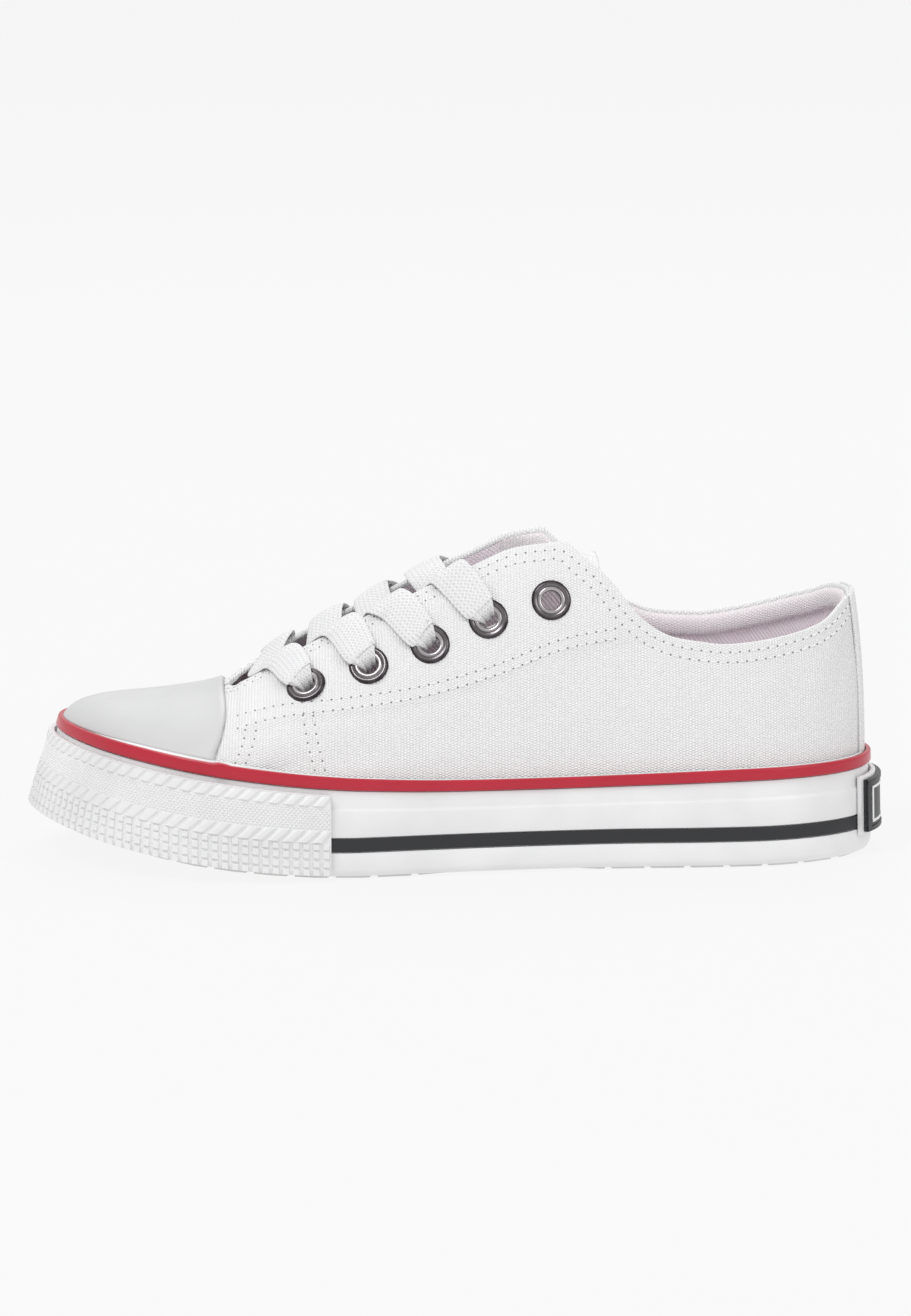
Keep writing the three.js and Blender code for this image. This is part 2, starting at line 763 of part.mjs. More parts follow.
// Outsole with its arch and the lugs between zigzag grooves.
function outsole() {
  const arch = (x) => {
    const t = THREE.MathUtils.clamp((shareOf(x) - archFrom) / (archTo - archFrom), 0, 1);
    return archRise * Math.sin(t * Math.PI) ** 2;
  };
  const bottom = turns.map((turn) => {
    const p = formFoot(turn, 0, 0);
    p.z += arch(p.x);
    return p;
  });
  const top = turns.map((turn) => formFoot(turn, 0, outsoleThickness));
  let body = solid(stack([bottom, top]));
  const zig = 3;
  const count = Math.floor(soleLength / groovePitch);
  for (let i = 1; i < count; i += 1) {
    const x = heelX - i * groovePitch;
    const teeth = Array.from({ length: 2 * zig + 1 }, (_, j) => [
      x + (j % 2 ? groovePitch / 5 : -groovePitch / 5),
      ((j - zig) / zig) * ballWidth * 0.6,
    ]);
    const back = teeth.map(([u, v]) => [u + grooveWidth, v]).reverse();
    const roof = spring(x) + arch(x) + grooveDepth;
    body = body.subtract(planPrism([...teeth, ...back], -grooveDepth, roof));
  }
  return geometryOf(body);
}

function insole() {
  const inside = -upperWall - gap;
  const bottom = outsoleThickness + gap;
  return stack([
    turns.map((turn) => formFoot(turn, inside, bottom)),
    turns.map((turn) => formFoot(turn, inside, bottom + insoleThickness)),
  ]);
}

// Middle height of the tongue over a place in the plan.
function tongueHeight(share, y) {
  const middle = instepHeight * (read(ridgeRows, 'height', share) - read(tongueRows, 'drop', share));
  return middle - tongueArch * (y - centreAt(share)) ** 2;
}

function tongue() {
  const columns = 8;
  const rows = 10;
  const front = tongueRows[0].fromHeel;
  const back = tongueRows[tongueRows.length - 1].fromHeel;
  const sections = Array.from({ length: rows + 1 }, (_, i) => {
    const share = THREE.MathUtils.lerp(front, back, i / rows);
    const half = ballWidth * read(tongueRows, 'half', share);
    const line = Array.from({ length: columns + 1 }, (_, j) => {
      const y = centreAt(share) + half * ((2 * j) / columns - 1);
      return new THREE.Vector3(xAt(share), y, tongueHeight(share, y));
    });
    const lift = new THREE.Vector3(0, 0, tongueThickness / 2);
    return [...line.map((p) => p.clone().sub(lift)), ...line.reverse().map((p) => p.clone().add(lift))];
  });
  const cap = [];
  for (let j = 0; j < columns; j += 1) {
    const over = 2 * columns + 1 - j;
    cap.push([j, j + 1, over - 1], [j, over - 1, over]);
  }
  return loft(sections, cap);
}

// Point of a lace over a surface given by its height, with the surface's normal there.
function laid(heightAt, share, y, rise, width) {
  const nudge = 0.5;
  const at = new THREE.Vector3(xAt(share), y, heightAt(share, y));
  const alongX = heightAt(shareOf(at.x + nudge), y) - at.z;
  const alongY = heightAt(share, y + nudge) - at.z;
  const up = new THREE.Vector3(-alongX, -alongY, nudge).normalize();
  at.addScaledVector(up, rise + laceThickness / 2);
  return { at, up, width };
}

const throatEdge = (share, side, outward) => centreAt(share)
  + side * (ballWidth * read(throatRows, 'half', share) + outward);

// Point over the eyestay, or over the throat on the level of the eyestays.
const overEyestay = (share, side, outward, rise, width) => laid(
  (place, y) => formHeight(place, y, eyestayStep), share, throatEdge(share, side, outward), rise, width);

const overTongue = (share, y, rise, width) => laid(
  (place, v) => tongueHeight(place, v) + tongueThickness / 2, share, y, rise, width);

function overEyelet(side, row, width) {
  const matrix = eyeletMatrix(side, row);
  const at = new THREE.Vector3(0, 0, eyeletFlange + laceThickness + laceClear).applyMatrix4(matrix);
  return { at, up: new THREE.Vector3().setFromMatrixColumn(matrix, 2), width };
}

// Flat lace along a row of points.
function ribbon(points) {
  const sections = points.map(({ at, up, width }, i) => {
    const before = points[Math.max(i - 1, 0)].at;
    const after = points[Math.min(i + 1, points.length - 1)].at;
    const along = after.clone().sub(before).normalize();
    const across = up.clone().cross(along).normalize();
    const lift = along.clone().cross(across).normalize();
    return [[-1, -1], [1, -1], [1, 1], [-1, 1]].map(([u, v]) => at.clone()
      .addScaledVector(across, (u * width) / 2).addScaledVector(lift, (v * laceThickness) / 2));
  });
  return solid(loft(sections, [[0, 1, 2], [0, 2, 3]]));
}

// Part of a lace from the throat's edge down to the eyelet that it enters.
function laceEnd(side, row, lean) {
  const share = row.fromHeel + (side === medial ? medialAhead : 0);
  const between = (t) => share + lean * (1 - t);
  return [
    ...laceEndRows.map((end) => overEyestay(
      between(end.between), side, end.outward * laceWidth, end.rise * laceThickness, end.width * laceWidth)),
    overEyelet(side, row, laceWidth * 0.6),
  ];
}

// First row: a straight bar over both eyestays, leaning toward the toe in its middle.
function laceBar(row, { lean, rise }) {
  const share = row.fromHeel + lean + medialAhead / 2;
  const near = laceEnd(lateral, row, lean);
  const far = laceEnd(medial, row, lean);
  return geometryOf(ribbon([...far.reverse(), overTongue(share, centreAt(share), rise, laceWidth), ...near]));
}

// Later rows: two laces that cross over the tongue, each from under one eyestay to the other side.
function laceCross(below, row, { lean, rise, medialRise }) {
  const strand = (side) => {
    const start = THREE.MathUtils.lerp(below.fromHeel, row.fromHeel, 0.3);
    const edge = row.fromHeel + lean + (side === medial ? medialAhead : 0);
    const middle = (start + edge) / 2;
    return ribbon([
      overTongue(start, throatEdge(start, -side, 2), gap, laceWidth * 0.7),
      overTongue(start, throatEdge(start, -side, -3), 0.9, laceWidth * 0.9),
      overTongue(middle, centreAt(middle), side === medial ? medialRise : rise, laceWidth),
      ...laceEnd(side, row, lean),
    ]);
  };
  return geometryOf(strand(lateral).add(strand(medial)));
}

const group = new THREE.Group();

function piece(name, geometry, color, roughness, metalness = 0) {
  const mesh = new THREE.Mesh(geometry, new THREE.MeshStandardMaterial({ color, roughness, metalness }));
  mesh.name = name;
  group.add(mesh);
}

piece('outsole', outsole(), rubberWhite, 0.6);
piece('foxing', foxing(), rubberWhite, 0.5);
piece('toe_bumper', toeBumper(), rubberWhite, 0.6);
piece('red_strip', redStrip(), red, 0.35);
piece('black_stripe', blackStripe(), black, 0.5);
piece('heel_label_base', labelBase(), rubberWhite, 0.5);
piece('heel_label', labelPlate(), black, 0.4);
piece('insole', insole(), canvasWhite, 0.9);
piece('upper', upper(), canvasWhite, 0.9);
piece('toe_cap', toeCap(), capWhite, 0.7);
piece('backstay', backstay(), canvasWhite, 0.9);
piece('tongue', tongue(), canvasWhite, 0.9);
piece('lace_bar_1', laceBar(eyeletRows[0], laceRows[0]), canvasWhite, 0.8);
for (let i = 1; i < laceRows.length; i += 1) {
  const crossing = laceCross(eyeletRows[i - 1], eyeletRows[i], laceRows[i]);
  piece(`lace_cross_${i + 1}`, crossing, canvasWhite, 0.8);
}
for (const [name, side] of [['lateral', lateral], ['medial', medial]]) {
  eyeletRows.forEach((row, i) => {
    piece(`eyelet_${name}_${i + 1}`, eyeletRing().applyMatrix4(eyeletMatrix(side, row)), gunmetal, 0.3, 1);
  });
}

export default group;
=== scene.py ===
import math

import bpy
import numpy as np
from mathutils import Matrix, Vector


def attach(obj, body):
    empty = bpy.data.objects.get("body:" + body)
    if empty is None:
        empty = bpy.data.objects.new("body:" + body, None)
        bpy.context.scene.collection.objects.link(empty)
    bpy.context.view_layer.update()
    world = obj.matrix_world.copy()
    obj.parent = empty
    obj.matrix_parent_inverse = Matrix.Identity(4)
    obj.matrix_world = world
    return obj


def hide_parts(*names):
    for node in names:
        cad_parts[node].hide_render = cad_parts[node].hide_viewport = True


# White canvas low-top for the left foot. The shape functions work in millimetres, as the solids do.
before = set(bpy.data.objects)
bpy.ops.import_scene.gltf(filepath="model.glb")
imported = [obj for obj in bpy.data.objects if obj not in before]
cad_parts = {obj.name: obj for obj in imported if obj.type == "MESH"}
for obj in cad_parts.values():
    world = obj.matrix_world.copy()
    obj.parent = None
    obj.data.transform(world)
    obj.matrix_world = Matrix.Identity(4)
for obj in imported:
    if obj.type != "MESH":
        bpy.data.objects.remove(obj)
scene = bpy.context.scene
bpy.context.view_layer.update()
mm = 0.001

# shape of the shoe
shoe = {
    "soleLength": 255, "ballWidth": 92, "instepHeight": 98, "heelHeight": 82,
    "toeSpring": 13, "springStart": 0.616, "archRise": 1.8, "archFrom": 0.32, "archTo": 0.55,
    "heelX": 126.8, "sideShift": 0.874, "heelPull": 0.1206, "toePull": 0.0905, "sectionRise": 20,
    "gap": 0.3, "upperWall": 2, "eyestayStep": 0.5, "collarHalfSpan": 28, "tongueArch": 0.0103,
    "outsoleThickness": 12, "foxingThickness": 3, "foxingHeight": 30.6, "foxingLift": 0.9,
    "wallLean": 0.8, "toeLean": 7.6, "toeInset": 5.2, "stripeTop": 12.5, "bumperEnd": 0.65,
    "medialAhead": 0.022, "tongueThickness": 1.6,
}
length = shoe["soleLength"]
width = shoe["ballWidth"]
gap = shoe["gap"]

# from the heel, middle, fullness
planRows = [(0, 0, .62), (.05, 0, .575), (.12, 0, .522), (.2, -.003, .452), (.3, -.014, .388),
            (.4, -.03, .368), (.5, -.038, .386), (.6, -.033, .443), (.7, -.016, .528), (.8, 0, .611),
            (.87, .016, .663), (.93, .038, .703), (1, .087, .717)]
# from the heel, ridge height, squareness of the section
ridgeRows = [(.12, 1.204, 2.4), (.26, 1.184, 2.15), (.32, 1.14, 2.4), (.375, 1.073, 2.6),
             (.434, 1.025, 2.6), (.47, .976, 2.5), (.533, .885, 2.45), (.6, .788, 2.4),
             (.683, .668, 2.4), (.735, .577, 2.35), (.775, .518, 2.3), (.834, .488, 2.3),
             (.893, .474, 2.4), (.91, .467, 2.4)]
# from the heel, rise of the sole's top edge
topRows = [(0, 0), (.15, -.01), (.35, -.058), (.52, -.05), (.66, .02), (.8, .065), (.9, .05), (1, -.02)]
# lateral place and height, medial place and height
collarRows = [(.55, 1.29, .57, 1.3), (.406, 1.207, .446, 1.217), (.366, 1.193, .412, 1.205),
              (.348, 1.146, .39, 1.155), (.317, 1.06, .34, 1.01), (.289, .941, .3, .906),
              (.253, .862, .262, .855), (.21, .834, .215, .841), (.18, .825, .18, .845),
              (.123, .843, .123, .884), (.067, .876, .067, .952), (.04, .93, .04, .995),
              (-.02, 1.02, -.02, 1.03)]
# from the heel, half width
throatRows = [(.766, .012), (.763, .05), (.755, .086), (.733, .112), (.683, .132), (.6, .14),
              (.53, .146), (.46, .155), (.37, .178), (.25, .2)]
eyestayRows = [(.757, .44), (.7, .48), (.62, .505), (.54, .535), (.46, .59), (.38, .665), (.3, .71)]
eyeletRows = [(.6773, .535), (.6041, .495), (.5324, .468), (.464, .464), (.39, .455)]
# from the heel, depth under the ridge, half width
tongueRows = [(.785, .033, .19), (.76, .036, .19), (.735, .048, .195), (.675, .062, .2),
              (.6, .078, .2), (.533, .096, .198), (.47, .119, .2), (.418, .142, .203),
              (.375, .168, .203), (.33, .212, .2)]


def smoothstep(value, low, high):
    t = np.clip((value - low) / (high - low), 0, 1)
    return t * t * (3 - 2 * t)


curves = {}


def read(rows, column, at):
    # smooth curve through one column of a table
    key = (id(rows), column)
    if key not in curves:
        order = sorted(rows)
        x = np.array([row[0] for row in order], float)
        y = np.array([row[column] for row in order], float)
        slopes = [[(y[1] - y[0]) / (x[1] - x[0])], (y[2:] - y[:-2]) / (x[2:] - x[:-2]),
                  [(y[-1] - y[-2]) / (x[-1] - x[-2])]]
        curves[key] = x, y, np.concatenate(slopes)
    x, y, slope = curves[key]
    at = np.asarray(at, float)
    i = np.clip(np.searchsorted(x, at) - 1, 0, len(x) - 2)
    span = x[i + 1] - x[i]
    t = np.clip((at - x[i]) / span, 0, 1)
    ends = y[i] * (1 + 2 * t) * (1 - t) ** 2 + y[i + 1] * t * t * (3 - 2 * t)
    return ends + span * (slope[i] * t * (1 - t) ** 2 + slope[i + 1] * t * t * (t - 1))


def shareOf(x):
    return (shoe["heelX"] - x) / length


def xAt(share):
    return shoe["heelX"] - share * length


def centreAt(share):
    return shoe["sideShift"] + width * read(planRows, 1, share)


def spring(x):
    t = np.maximum(0, (shareOf(x) - shoe["springStart"]) / (1 - shoe["springStart"]))
    return shoe["toeSpring"] * t ** 1.6


def toeness(share):
    return smoothstep(share, 0.78, 1)


def turnShare(turn):
    return (1 - np.cos(turn)) / 2


def turnAt(side, share):
    angle = np.arccos(np.clip(1 - 2 * np.asarray(share, float), -1, 1))
    return np.where(np.asarray(side) < 0, angle, 2 * math.pi - angle)


def rimBase(turn):
    turn = np.mod(turn, 2 * math.pi)
    side = np.where(turn <= math.pi, -1, 1)
    share = turnShare(turn)
    half = width * read(planRows, 2, share) * np.abs(np.sin(turn))
    return xAt(share), centreAt(share) + side * half


def rim(turn, inset):
    aheadX, aheadY = rimBase(turn + 0.01)
    behindX, behindY = rimBase(turn - 0.01)
    alongX, alongY = aheadX - behindX, aheadY - behindY
    size = np.hypot(alongX, alongY)
    x, y = rimBase(turn)
    return x + inset * alongY / size, y - inset * alongX / size


def wallHeight(share, height):
    part = np.maximum(0, (height - shoe["stripeTop"]) / (shoe["foxingHeight"] - shoe["stripeTop"]))
    return height + part * shoe["foxingHeight"] * read(topRows, 1, share)


def wallPoint(turn, inset, height):
    # point on the sole's wall; a negative inset stands proud of it
    share = turnShare(turn)
    lean = shoe["wallLean"] + shoe["toeLean"] * toeness(share)
    x, y = rim(turn, inset + lean * height / shoe["foxingHeight"])
    return np.stack([x, y, spring(x) + wallHeight(share, height)], -1)


def ridge(turn):
    c = np.cos(turn)
    pull = np.where(c > 0, shoe["heelPull"], -shoe["toePull"]) * length
    x = xAt(turnShare(turn)) - pull * c ** 4
    share = shareOf(x)
    return x, centreAt(share), shoe["instepHeight"] * read(ridgeRows, 1, share)


def formPoint(turn, around, grow):
    # point of the last: around runs from the upright wall at 0 to the ridge at 1
    turn, around, grow = np.broadcast_arrays(np.asarray(turn, float), around, grow)
    crestX, crestY, crestZ = ridge(turn)
    crestZ = crestZ + grow
    inset = shoe["foxingThickness"] + gap + shoe["toeInset"] * toeness(turnShare(turn)) - grow
    footX, footY = rim(turn, inset)
    low = spring(footX) + shoe["sectionRise"]
    power = 2 / read(ridgeRows, 2, shareOf(crestX))
    angle = np.clip(around, 0, 1) * math.pi / 2
    out = np.maximum(np.cos(angle), 0) ** power
    up = np.sin(angle) ** power
    x = crestX + (footX - crestX) * out
    y = crestY + (footY - crestY) * out
    z = low + (crestZ - low) * up
    below = np.minimum(around, 0) * (shoe["sectionRise"] - shoe["outsoleThickness"] - gap)
    return np.stack([x, y, z + below], -1)


def turnOnForm(side, share, around):
    side, share, around = np.broadcast_arrays(side, np.asarray(share, float), around)
    low, high = np.zeros(side.shape), np.full(side.shape, math.pi)
    for _ in range(34):
        middle = (low + high) / 2
        turn = np.where(side < 0, middle, 2 * math.pi - middle)
        before = shareOf(formPoint(turn, around, 0)[..., 0]) < share
        low, high = np.where(before, middle, low), np.where(before, high, middle)
    return np.where(side < 0, low, 2 * math.pi - low)


def formHeights(share, y):
    # height of the last over places in the plan
    side = np.where(y < centreAt(share), -1, 1)
    low, high = np.zeros(y.shape), np.ones(y.shape)
    for _ in range(16):
        middle = (low + high) / 2
        p = formPoint(turnOnForm(side, share, middle), middle, 0)
        outside = side * (p[..., 1] - y) > 0
        low, high = np.where(outside, middle, low), np.where(outside, high, middle)
    return formPoint(turnOnForm(side, share, low), low, 0)[..., 2]


def aroundAtHeight(turn, height, grow):
    # how far round the section the last reaches a height over the underside
    low, high = np.zeros(np.shape(turn)), np.ones(np.shape(turn))
    for _ in range(30):
        middle = (low + high) / 2
        p = formPoint(turn, middle, grow)
        under = p[..., 2] - spring(p[..., 0]) < height
        low, high = np.where(under, middle, low), np.where(under, high, middle)
    return low


def splinePoints(points, steps):
    # smooth open line through points, at even steps between them
    p = np.array(points, float)
    padded = np.vstack([2 * p[0] - p[1], p, 2 * p[-1] - p[-2]])
    t = np.linspace(0, len(p) - 1, (len(p) - 1) * steps + 1)
    i = np.minimum(t.astype(int), len(p) - 2)
    f = (t - i)[:, None]
    a, b, c, d = padded[i], padded[i + 1], padded[i + 2], padded[i + 3]
    bend, twist = 2 * a - 5 * b + 4 * c - d, 3 * b - 3 * c + d - a
    return 0.5 * (2 * b + (c - a) * f + bend * f ** 2 + twist * f ** 3)


def lineLength(points):
    return np.concatenate([[0], np.cumsum(np.linalg.norm(np.diff(points, axis=0), axis=1))])


def evenly(points, pitch):
    # points at one pitch along a line
    run = lineLength(points)
    count = max(2, int(round(run[-1] / pitch)) + 1)
    at = np.linspace(0, run[-1], count)
    return np.stack([np.interp(at, run, points[:, k]) for k in range(points.shape[1])], 1)


# Height of the collar line over a place, tabled once over the width of the shoe.
collarY = np.linspace(-56, 56, 57)
collarX = np.linspace(xAt(.62), xAt(-.06), 360)
collarTable = []
for y in collarY:
    t = (y + shoe["collarHalfSpan"]) / (2 * shoe["collarHalfSpan"])
    line = [(xAt(a + (c - a) * t), shoe["heelHeight"] * (b + (d - b) * t)) for a, b, c, d in collarRows]
    line = splinePoints(line, 12)
    order = np.argsort(line[:, 0])
    collarTable.append(np.interp(collarX, line[order, 0], line[order, 1], left=999))
collarTable = np.array(collarTable)


def tableAt(table, row, column):
    # value between the places of a table
    row = np.clip(row, 0, table.shape[0] - 1.001)
    column = np.clip(column, 0, table.shape[1] - 1.001)
    i, j = row.astype(int), column.astype(int)
    f, g = row - i, column - j
    low = table[i, j] * (1 - g) + table[i, j + 1] * g
    high = table[i + 1, j] * (1 - g) + table[i + 1, j + 1] * g
    return low * (1 - f) + high * f


def collarHeight(x, y):
    row = (y - collarY[0]) / (collarY[1] - collarY[0])
    column = (x - collarX[0]) / (collarX[1] - collarX[0])
    return np.where(x < collarX[0], 999, tableAt(collarTable, row, column))


# Height of the last over the throat, for the laces.
heightShares = np.linspace(.3, .82, 53)
heightSides = np.linspace(-34, 34, 69)
heightTable = formHeights(heightShares[:, None] + 0 * heightSides,
                          centreAt(heightShares)[:, None] + heightSides)


def formHeight(share, y, grow):
    row = (np.asarray(share, float) - heightShares[0]) / (heightShares[1] - heightShares[0])
    column = (np.asarray(y, float) - centreAt(share) - heightSides[0]) / (heightSides[1] - heightSides[0])
    return tableAt(heightTable, row, column) + grow


def insideUpper(p):
    share = shareOf(p[..., 0])
    half = width * read(throatRows, 1, share)
    inThroat = (np.abs(p[..., 1] - centreAt(share)) < half) & (share < throatRows[0][0]) & (share > .2)
    return ~inThroat & (p[..., 2] < collarHeight(p[..., 0], p[..., 1]))


# How far round each section the upper reaches: to the collar, the throat's edge or the ridge.
edgeTurns = np.linspace(0, 2 * math.pi, 2881)
aroundSteps = np.linspace(0, 1, 161)
kept = insideUpper(formPoint(edgeTurns[:, None], aroundSteps[None, :], 0))
first = np.where(kept.all(1), len(aroundSteps) - 1, np.argmin(kept, 1))
low, high = aroundSteps[np.maximum(first - 1, 0)], aroundSteps[first]
for _ in range(14):
    middle = (low + high) / 2
    inside = insideUpper(formPoint(edgeTurns, middle, 0))
    low, high = np.where(inside, middle, low), np.where(inside, high, middle)
edgeAround = np.where(kept.all(1), 1, low)


def topOf(turn):
    return np.interp(np.mod(turn, 2 * math.pi), edgeTurns, edgeAround)


rimX, rimY = rimBase(edgeTurns)
rimLength = lineLength(np.stack([rimX, rimY], 1))

# mesh helpers


def deselectAll():
    if bpy.context.object and bpy.context.object.mode != "OBJECT":
        bpy.ops.object.mode_set(mode="OBJECT")
    bpy.ops.object.select_all(action="DESELECT")


def smoothShade(piece, angle=60):
    deselectAll()
    piece.select_set(True)
    bpy.context.view_layer.objects.active = piece
    bpy.ops.object.shade_smooth_by_angle(angle=math.radians(angle))


def gridPiece(name, columns, rows, place, weld=True, angle=60):
    # a grid primitive whose points are put on a surface; place gives points and UVs in millimetres
    deselectAll()
    bpy.ops.mesh.primitive_grid_add(x_subdivisions=columns, y_subdivisions=rows, size=1)
    piece = bpy.context.object
    piece.name = piece.data.name = name
    mesh = piece.data
    flat = np.empty(len(mesh.vertices) * 3)
    mesh.vertices.foreach_get("co", flat)
    u, v = flat[0::3] + 0.5, flat[1::3] + 0.5
    points, uv = place(u, v)
    mesh.vertices.foreach_set("co", (points * mm).ravel())
    corner = np.empty(len(mesh.loops), int)
    mesh.loops.foreach_get("vertex_index", corner)
    mesh.uv_layers.active.data.foreach_set("uv", uv[corner].ravel())
    mesh.update()
    if weld:
        bpy.ops.object.mode_set(mode="EDIT")
        bpy.ops.mesh.select_all(action="SELECT")
        bpy.ops.mesh.remove_doubles(threshold=2e-6)
        bpy.ops.mesh.normals_make_consistent(inside=False)
        bpy.ops.object.mode_set(mode="OBJECT")
    smoothShade(piece, angle)
    return piece


def applyModifier(piece, kind, **settings):
    deselectAll()
    piece.select_set(True)
    bpy.context.view_layer.objects.active = piece
    modifier = piece.modifiers.new(kind.title(), kind)
    for name, value in settings.items():
        setattr(modifier, name, value)
    bpy.ops.object.modifier_apply(modifier=modifier.name)
    return piece


def template(add, **settings):
    # points and faces of a small primitive, which is then deleted
    deselectAll()
    add(**settings)
    shape = bpy.context.object
    points = np.array([v.co for v in shape.data.vertices])
    faces = [list(f.vertices) for f in shape.data.polygons]
    bpy.data.objects.remove(shape)
    return points, faces


def repeated(name, faces, copies, angle=60):
    # one mesh out of many placed copies (an array: copy, point, xyz in millimetres)
    copies = np.asarray(copies)
    count, size = copies.shape[:2]
    allFaces = [[k * size + i for i in face] for k in range(count) for face in faces]
    mesh = bpy.data.meshes.new(name)
    mesh.from_pydata((copies.reshape(-1, 3) * mm).tolist(), [], allFaces)
    mesh.update()
    piece = bpy.data.objects.new(name, mesh)
    scene.collection.objects.link(piece)
    deselectAll()
    piece.select_set(True)
    bpy.context.view_layer.objects.active = piece
    bpy.ops.object.mode_set(mode="EDIT")
    bpy.ops.mesh.select_all(action="SELECT")
    bpy.ops.mesh.normals_make_consistent(inside=False)
    bpy.ops.object.mode_set(mode="OBJECT")
    smoothShade(piece, angle)
    return piece


def finishPiece(piece, material, nodes=()):
    piece.data.materials.clear()
    piece.data.materials.append(material)
    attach(piece, "root")
    if nodes:
        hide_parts(*nodes)
    return piece


# shader helpers


class Wire:
    # one value in a shader; arithmetic on it adds Math nodes
    def __init__(self, shader, socket):
        self.shader = shader
        self.socket = socket

    def __add__(self, other):
        return self.shader.math("ADD", self, other)

    __radd__ = __add__

    def __sub__(self, other):
        return self.shader.math("SUBTRACT", self, other)

    def __rsub__(self, other):
        return self.shader.math("SUBTRACT", other, self)

    def __mul__(self, other):
        return self.shader.math("MULTIPLY", self, other)

    __rmul__ = __mul__

    def __truediv__(self, other):
        return self.shader.math("DIVIDE", self, other)

    def __pow__(self, other):
        return self.shader.math("POWER", self, other)


class Shader:
    def __init__(self, name, color, roughness, **inputs):
        self.material = bpy.data.materials.new(name)
        self.material.use_nodes = True
        self.tree = self.material.node_tree
        self.surface = self.tree.nodes["Principled BSDF"]
        self.surface.inputs["Base Color"].default_value = (*color, 1)
        self.surface.inputs["Roughness"].default_value = roughness
        for key, value in inputs.items():
            self.surface.inputs[key.replace("_", " ")].default_value = value
        self.material.diffuse_color = (*color, 1)

    def node(self, kind, settings=None, values=None, output=0):
        made = self.tree.nodes.new(kind)
        for key, value in (settings or {}).items():
            setattr(made, key, value)
        for key, value in (values or {}).items():
            if isinstance(value, Wire):
                self.tree.links.new(value.socket, made.inputs[key])
            else:
                made.inputs[key].default_value = value
        return Wire(self, made.outputs[output])

    def math(self, operation, *values):
        return self.node("ShaderNodeMath", {"operation": operation}, dict(enumerate(values)))

    def clamp(self, value, low, high):
        return self.node("ShaderNodeMapRange", {"interpolation_type": "SMOOTHSTEP"},
                         {"Value": value, "From Min": low, "From Max": high})

    def mix(self, factor, a, b):
        a = (*a, 1) if isinstance(a, tuple) and len(a) == 3 else a
        b = (*b, 1) if isinstance(b, tuple) and len(b) == 3 else b
        return self.node("ShaderNodeMix", {"data_type": "RGBA"}, {0: factor, 6: a, 7: b}, 2)

    def uv(self):
        # the piece's own UV map, in millimetres
        at = self.node("ShaderNodeUVMap", {"uv_map": "UVMap"})
        parts = self.node("ShaderNodeSeparateXYZ", None, {0: at})
        return parts, Wire(self, parts.socket.node.outputs[1])

    def place(self):
        # object coordinates in millimetres
        at = self.node("ShaderNodeTexCoord", output=3)
        return self.node("ShaderNodeVectorMath", {"operation": "SCALE"}, {0: at, 3: 1000.0})

    def axes(self):
        parts = self.node("ShaderNodeSeparateXYZ", None, {0: self.place()})
        return [Wire(self, parts.socket.node.outputs[k]) for k in range(3)]

    def noise(self, scale, detail=2, vector=None, roughness=0.5):
        return self.node("ShaderNodeTexNoise", None, {
            "Vector": vector or self.place(), "Scale": scale, "Detail": detail, "Roughness": roughness})

    def sine(self, value, pitch):
        return self.math("SINE", value * (2 * math.pi / pitch))

    def set(self, name, wire):
        self.tree.links.new(wire.socket, self.surface.inputs[name])

    def bump(self, height, distance, strength=1.0):
        made = self.node("ShaderNodeBump", None, {
            "Strength": strength, "Distance": distance * mm, "Height": height})
        self.set("Normal", made)


def canvasCloth(name, color, rib, pick, depth):
    # upright ribs with a thread that dips over and under them
    cloth = Shader(name, color, 0.92, Sheen_Weight=0.15, Sheen_Roughness=0.5, Specular_IOR_Level=0.25)
    u, v = cloth.uv()
    wobble = (cloth.noise(0.25, 2) - 0.5) * (0.35 * rib)
    ribs = cloth.sine(u + wobble, rib)
    turned = cloth.math("SIGN", cloth.sine(u + wobble + 0.25 * rib, 2 * rib))
    picks = cloth.sine(v + turned * (0.25 * pick), pick)
    fuzz = cloth.noise(3.0, 3)
    height = ribs * 0.42 + 0.5 + picks * 0.42 + fuzz * 0.5
    cloth.bump(height, depth)
    # painted shade: the colour darkens in the grooves where ribs and picks sit low, mixed with the cloth's
    # real slub tone
    groove = cloth.clamp(ribs + picks * 0.9, -1.7, 0.2)
    slub = cloth.clamp(cloth.noise(0.55, 3), 0.3, 0.75)
    shade = groove * 0.75 + slub * 0.25
    dark = tuple(c * 0.91 for c in color)
    cloth.set("Base Color", cloth.mix(shade, dark, color))
    cloth.set("Roughness", 0.86 + fuzz * 0.12)
    return cloth.material


def laceCloth():
    # flat woven braid: two sets of slanted plaits that cross
    color = (0.77, 0.77, 0.775)
    cloth = Shader("laceWeave", color, 0.8, Sheen_Weight=0.2, Sheen_Roughness=0.5, Specular_IOR_Level=0.3)
    u, v = cloth.uv()
    leftPlait = cloth.sine(u * 0.8 + v * 0.75, 1.25)
    rightPlait = cloth.sine(u * 0.8 - v * 0.75, 1.25)
    rows = cloth.sine(v, 1.5)
    height = cloth.math("MAXIMUM", leftPlait, rightPlait) * 0.5 + rows * 0.25 + cloth.noise(3.0, 2) * 0.4
    cloth.bump(height, 0.16)
    # painted shade: the braid's colour darkens where the plaits sit low
    shade = cloth.clamp(height, -0.3, 0.8)
    cloth.set("Base Color", cloth.mix(shade, (0.64, 0.64, 0.655), color))
    return cloth.material


def liningTwill():
    color = (0.93, 0.83, 0.885)
    cloth = Shader("liningTwill", color, 0.95, Sheen_Weight=0.2, Specular_IOR_Level=0.2)
    u, v = cloth.uv()
    twill = cloth.sine(u * 0.8 + v * 0.6, 1.1)
    height = twill * 0.5 + cloth.noise(3.0, 3) * 0.5
    cloth.bump(height, 0.12)
    pale = cloth.clamp(cloth.noise(0.12, 3), 0.35, 0.7)
    base = cloth.mix(pale, color, (0.94, 0.885, 0.915))
    # painted shade: the colour darkens in the low lines of the twill; the pale cloud is random tone
    cloth.set("Base Color", cloth.mix(cloth.clamp(twill, -1, 0.6) * 0.6 + 0.4, (0.82, 0.72, 0.78), base))
    return cloth.material


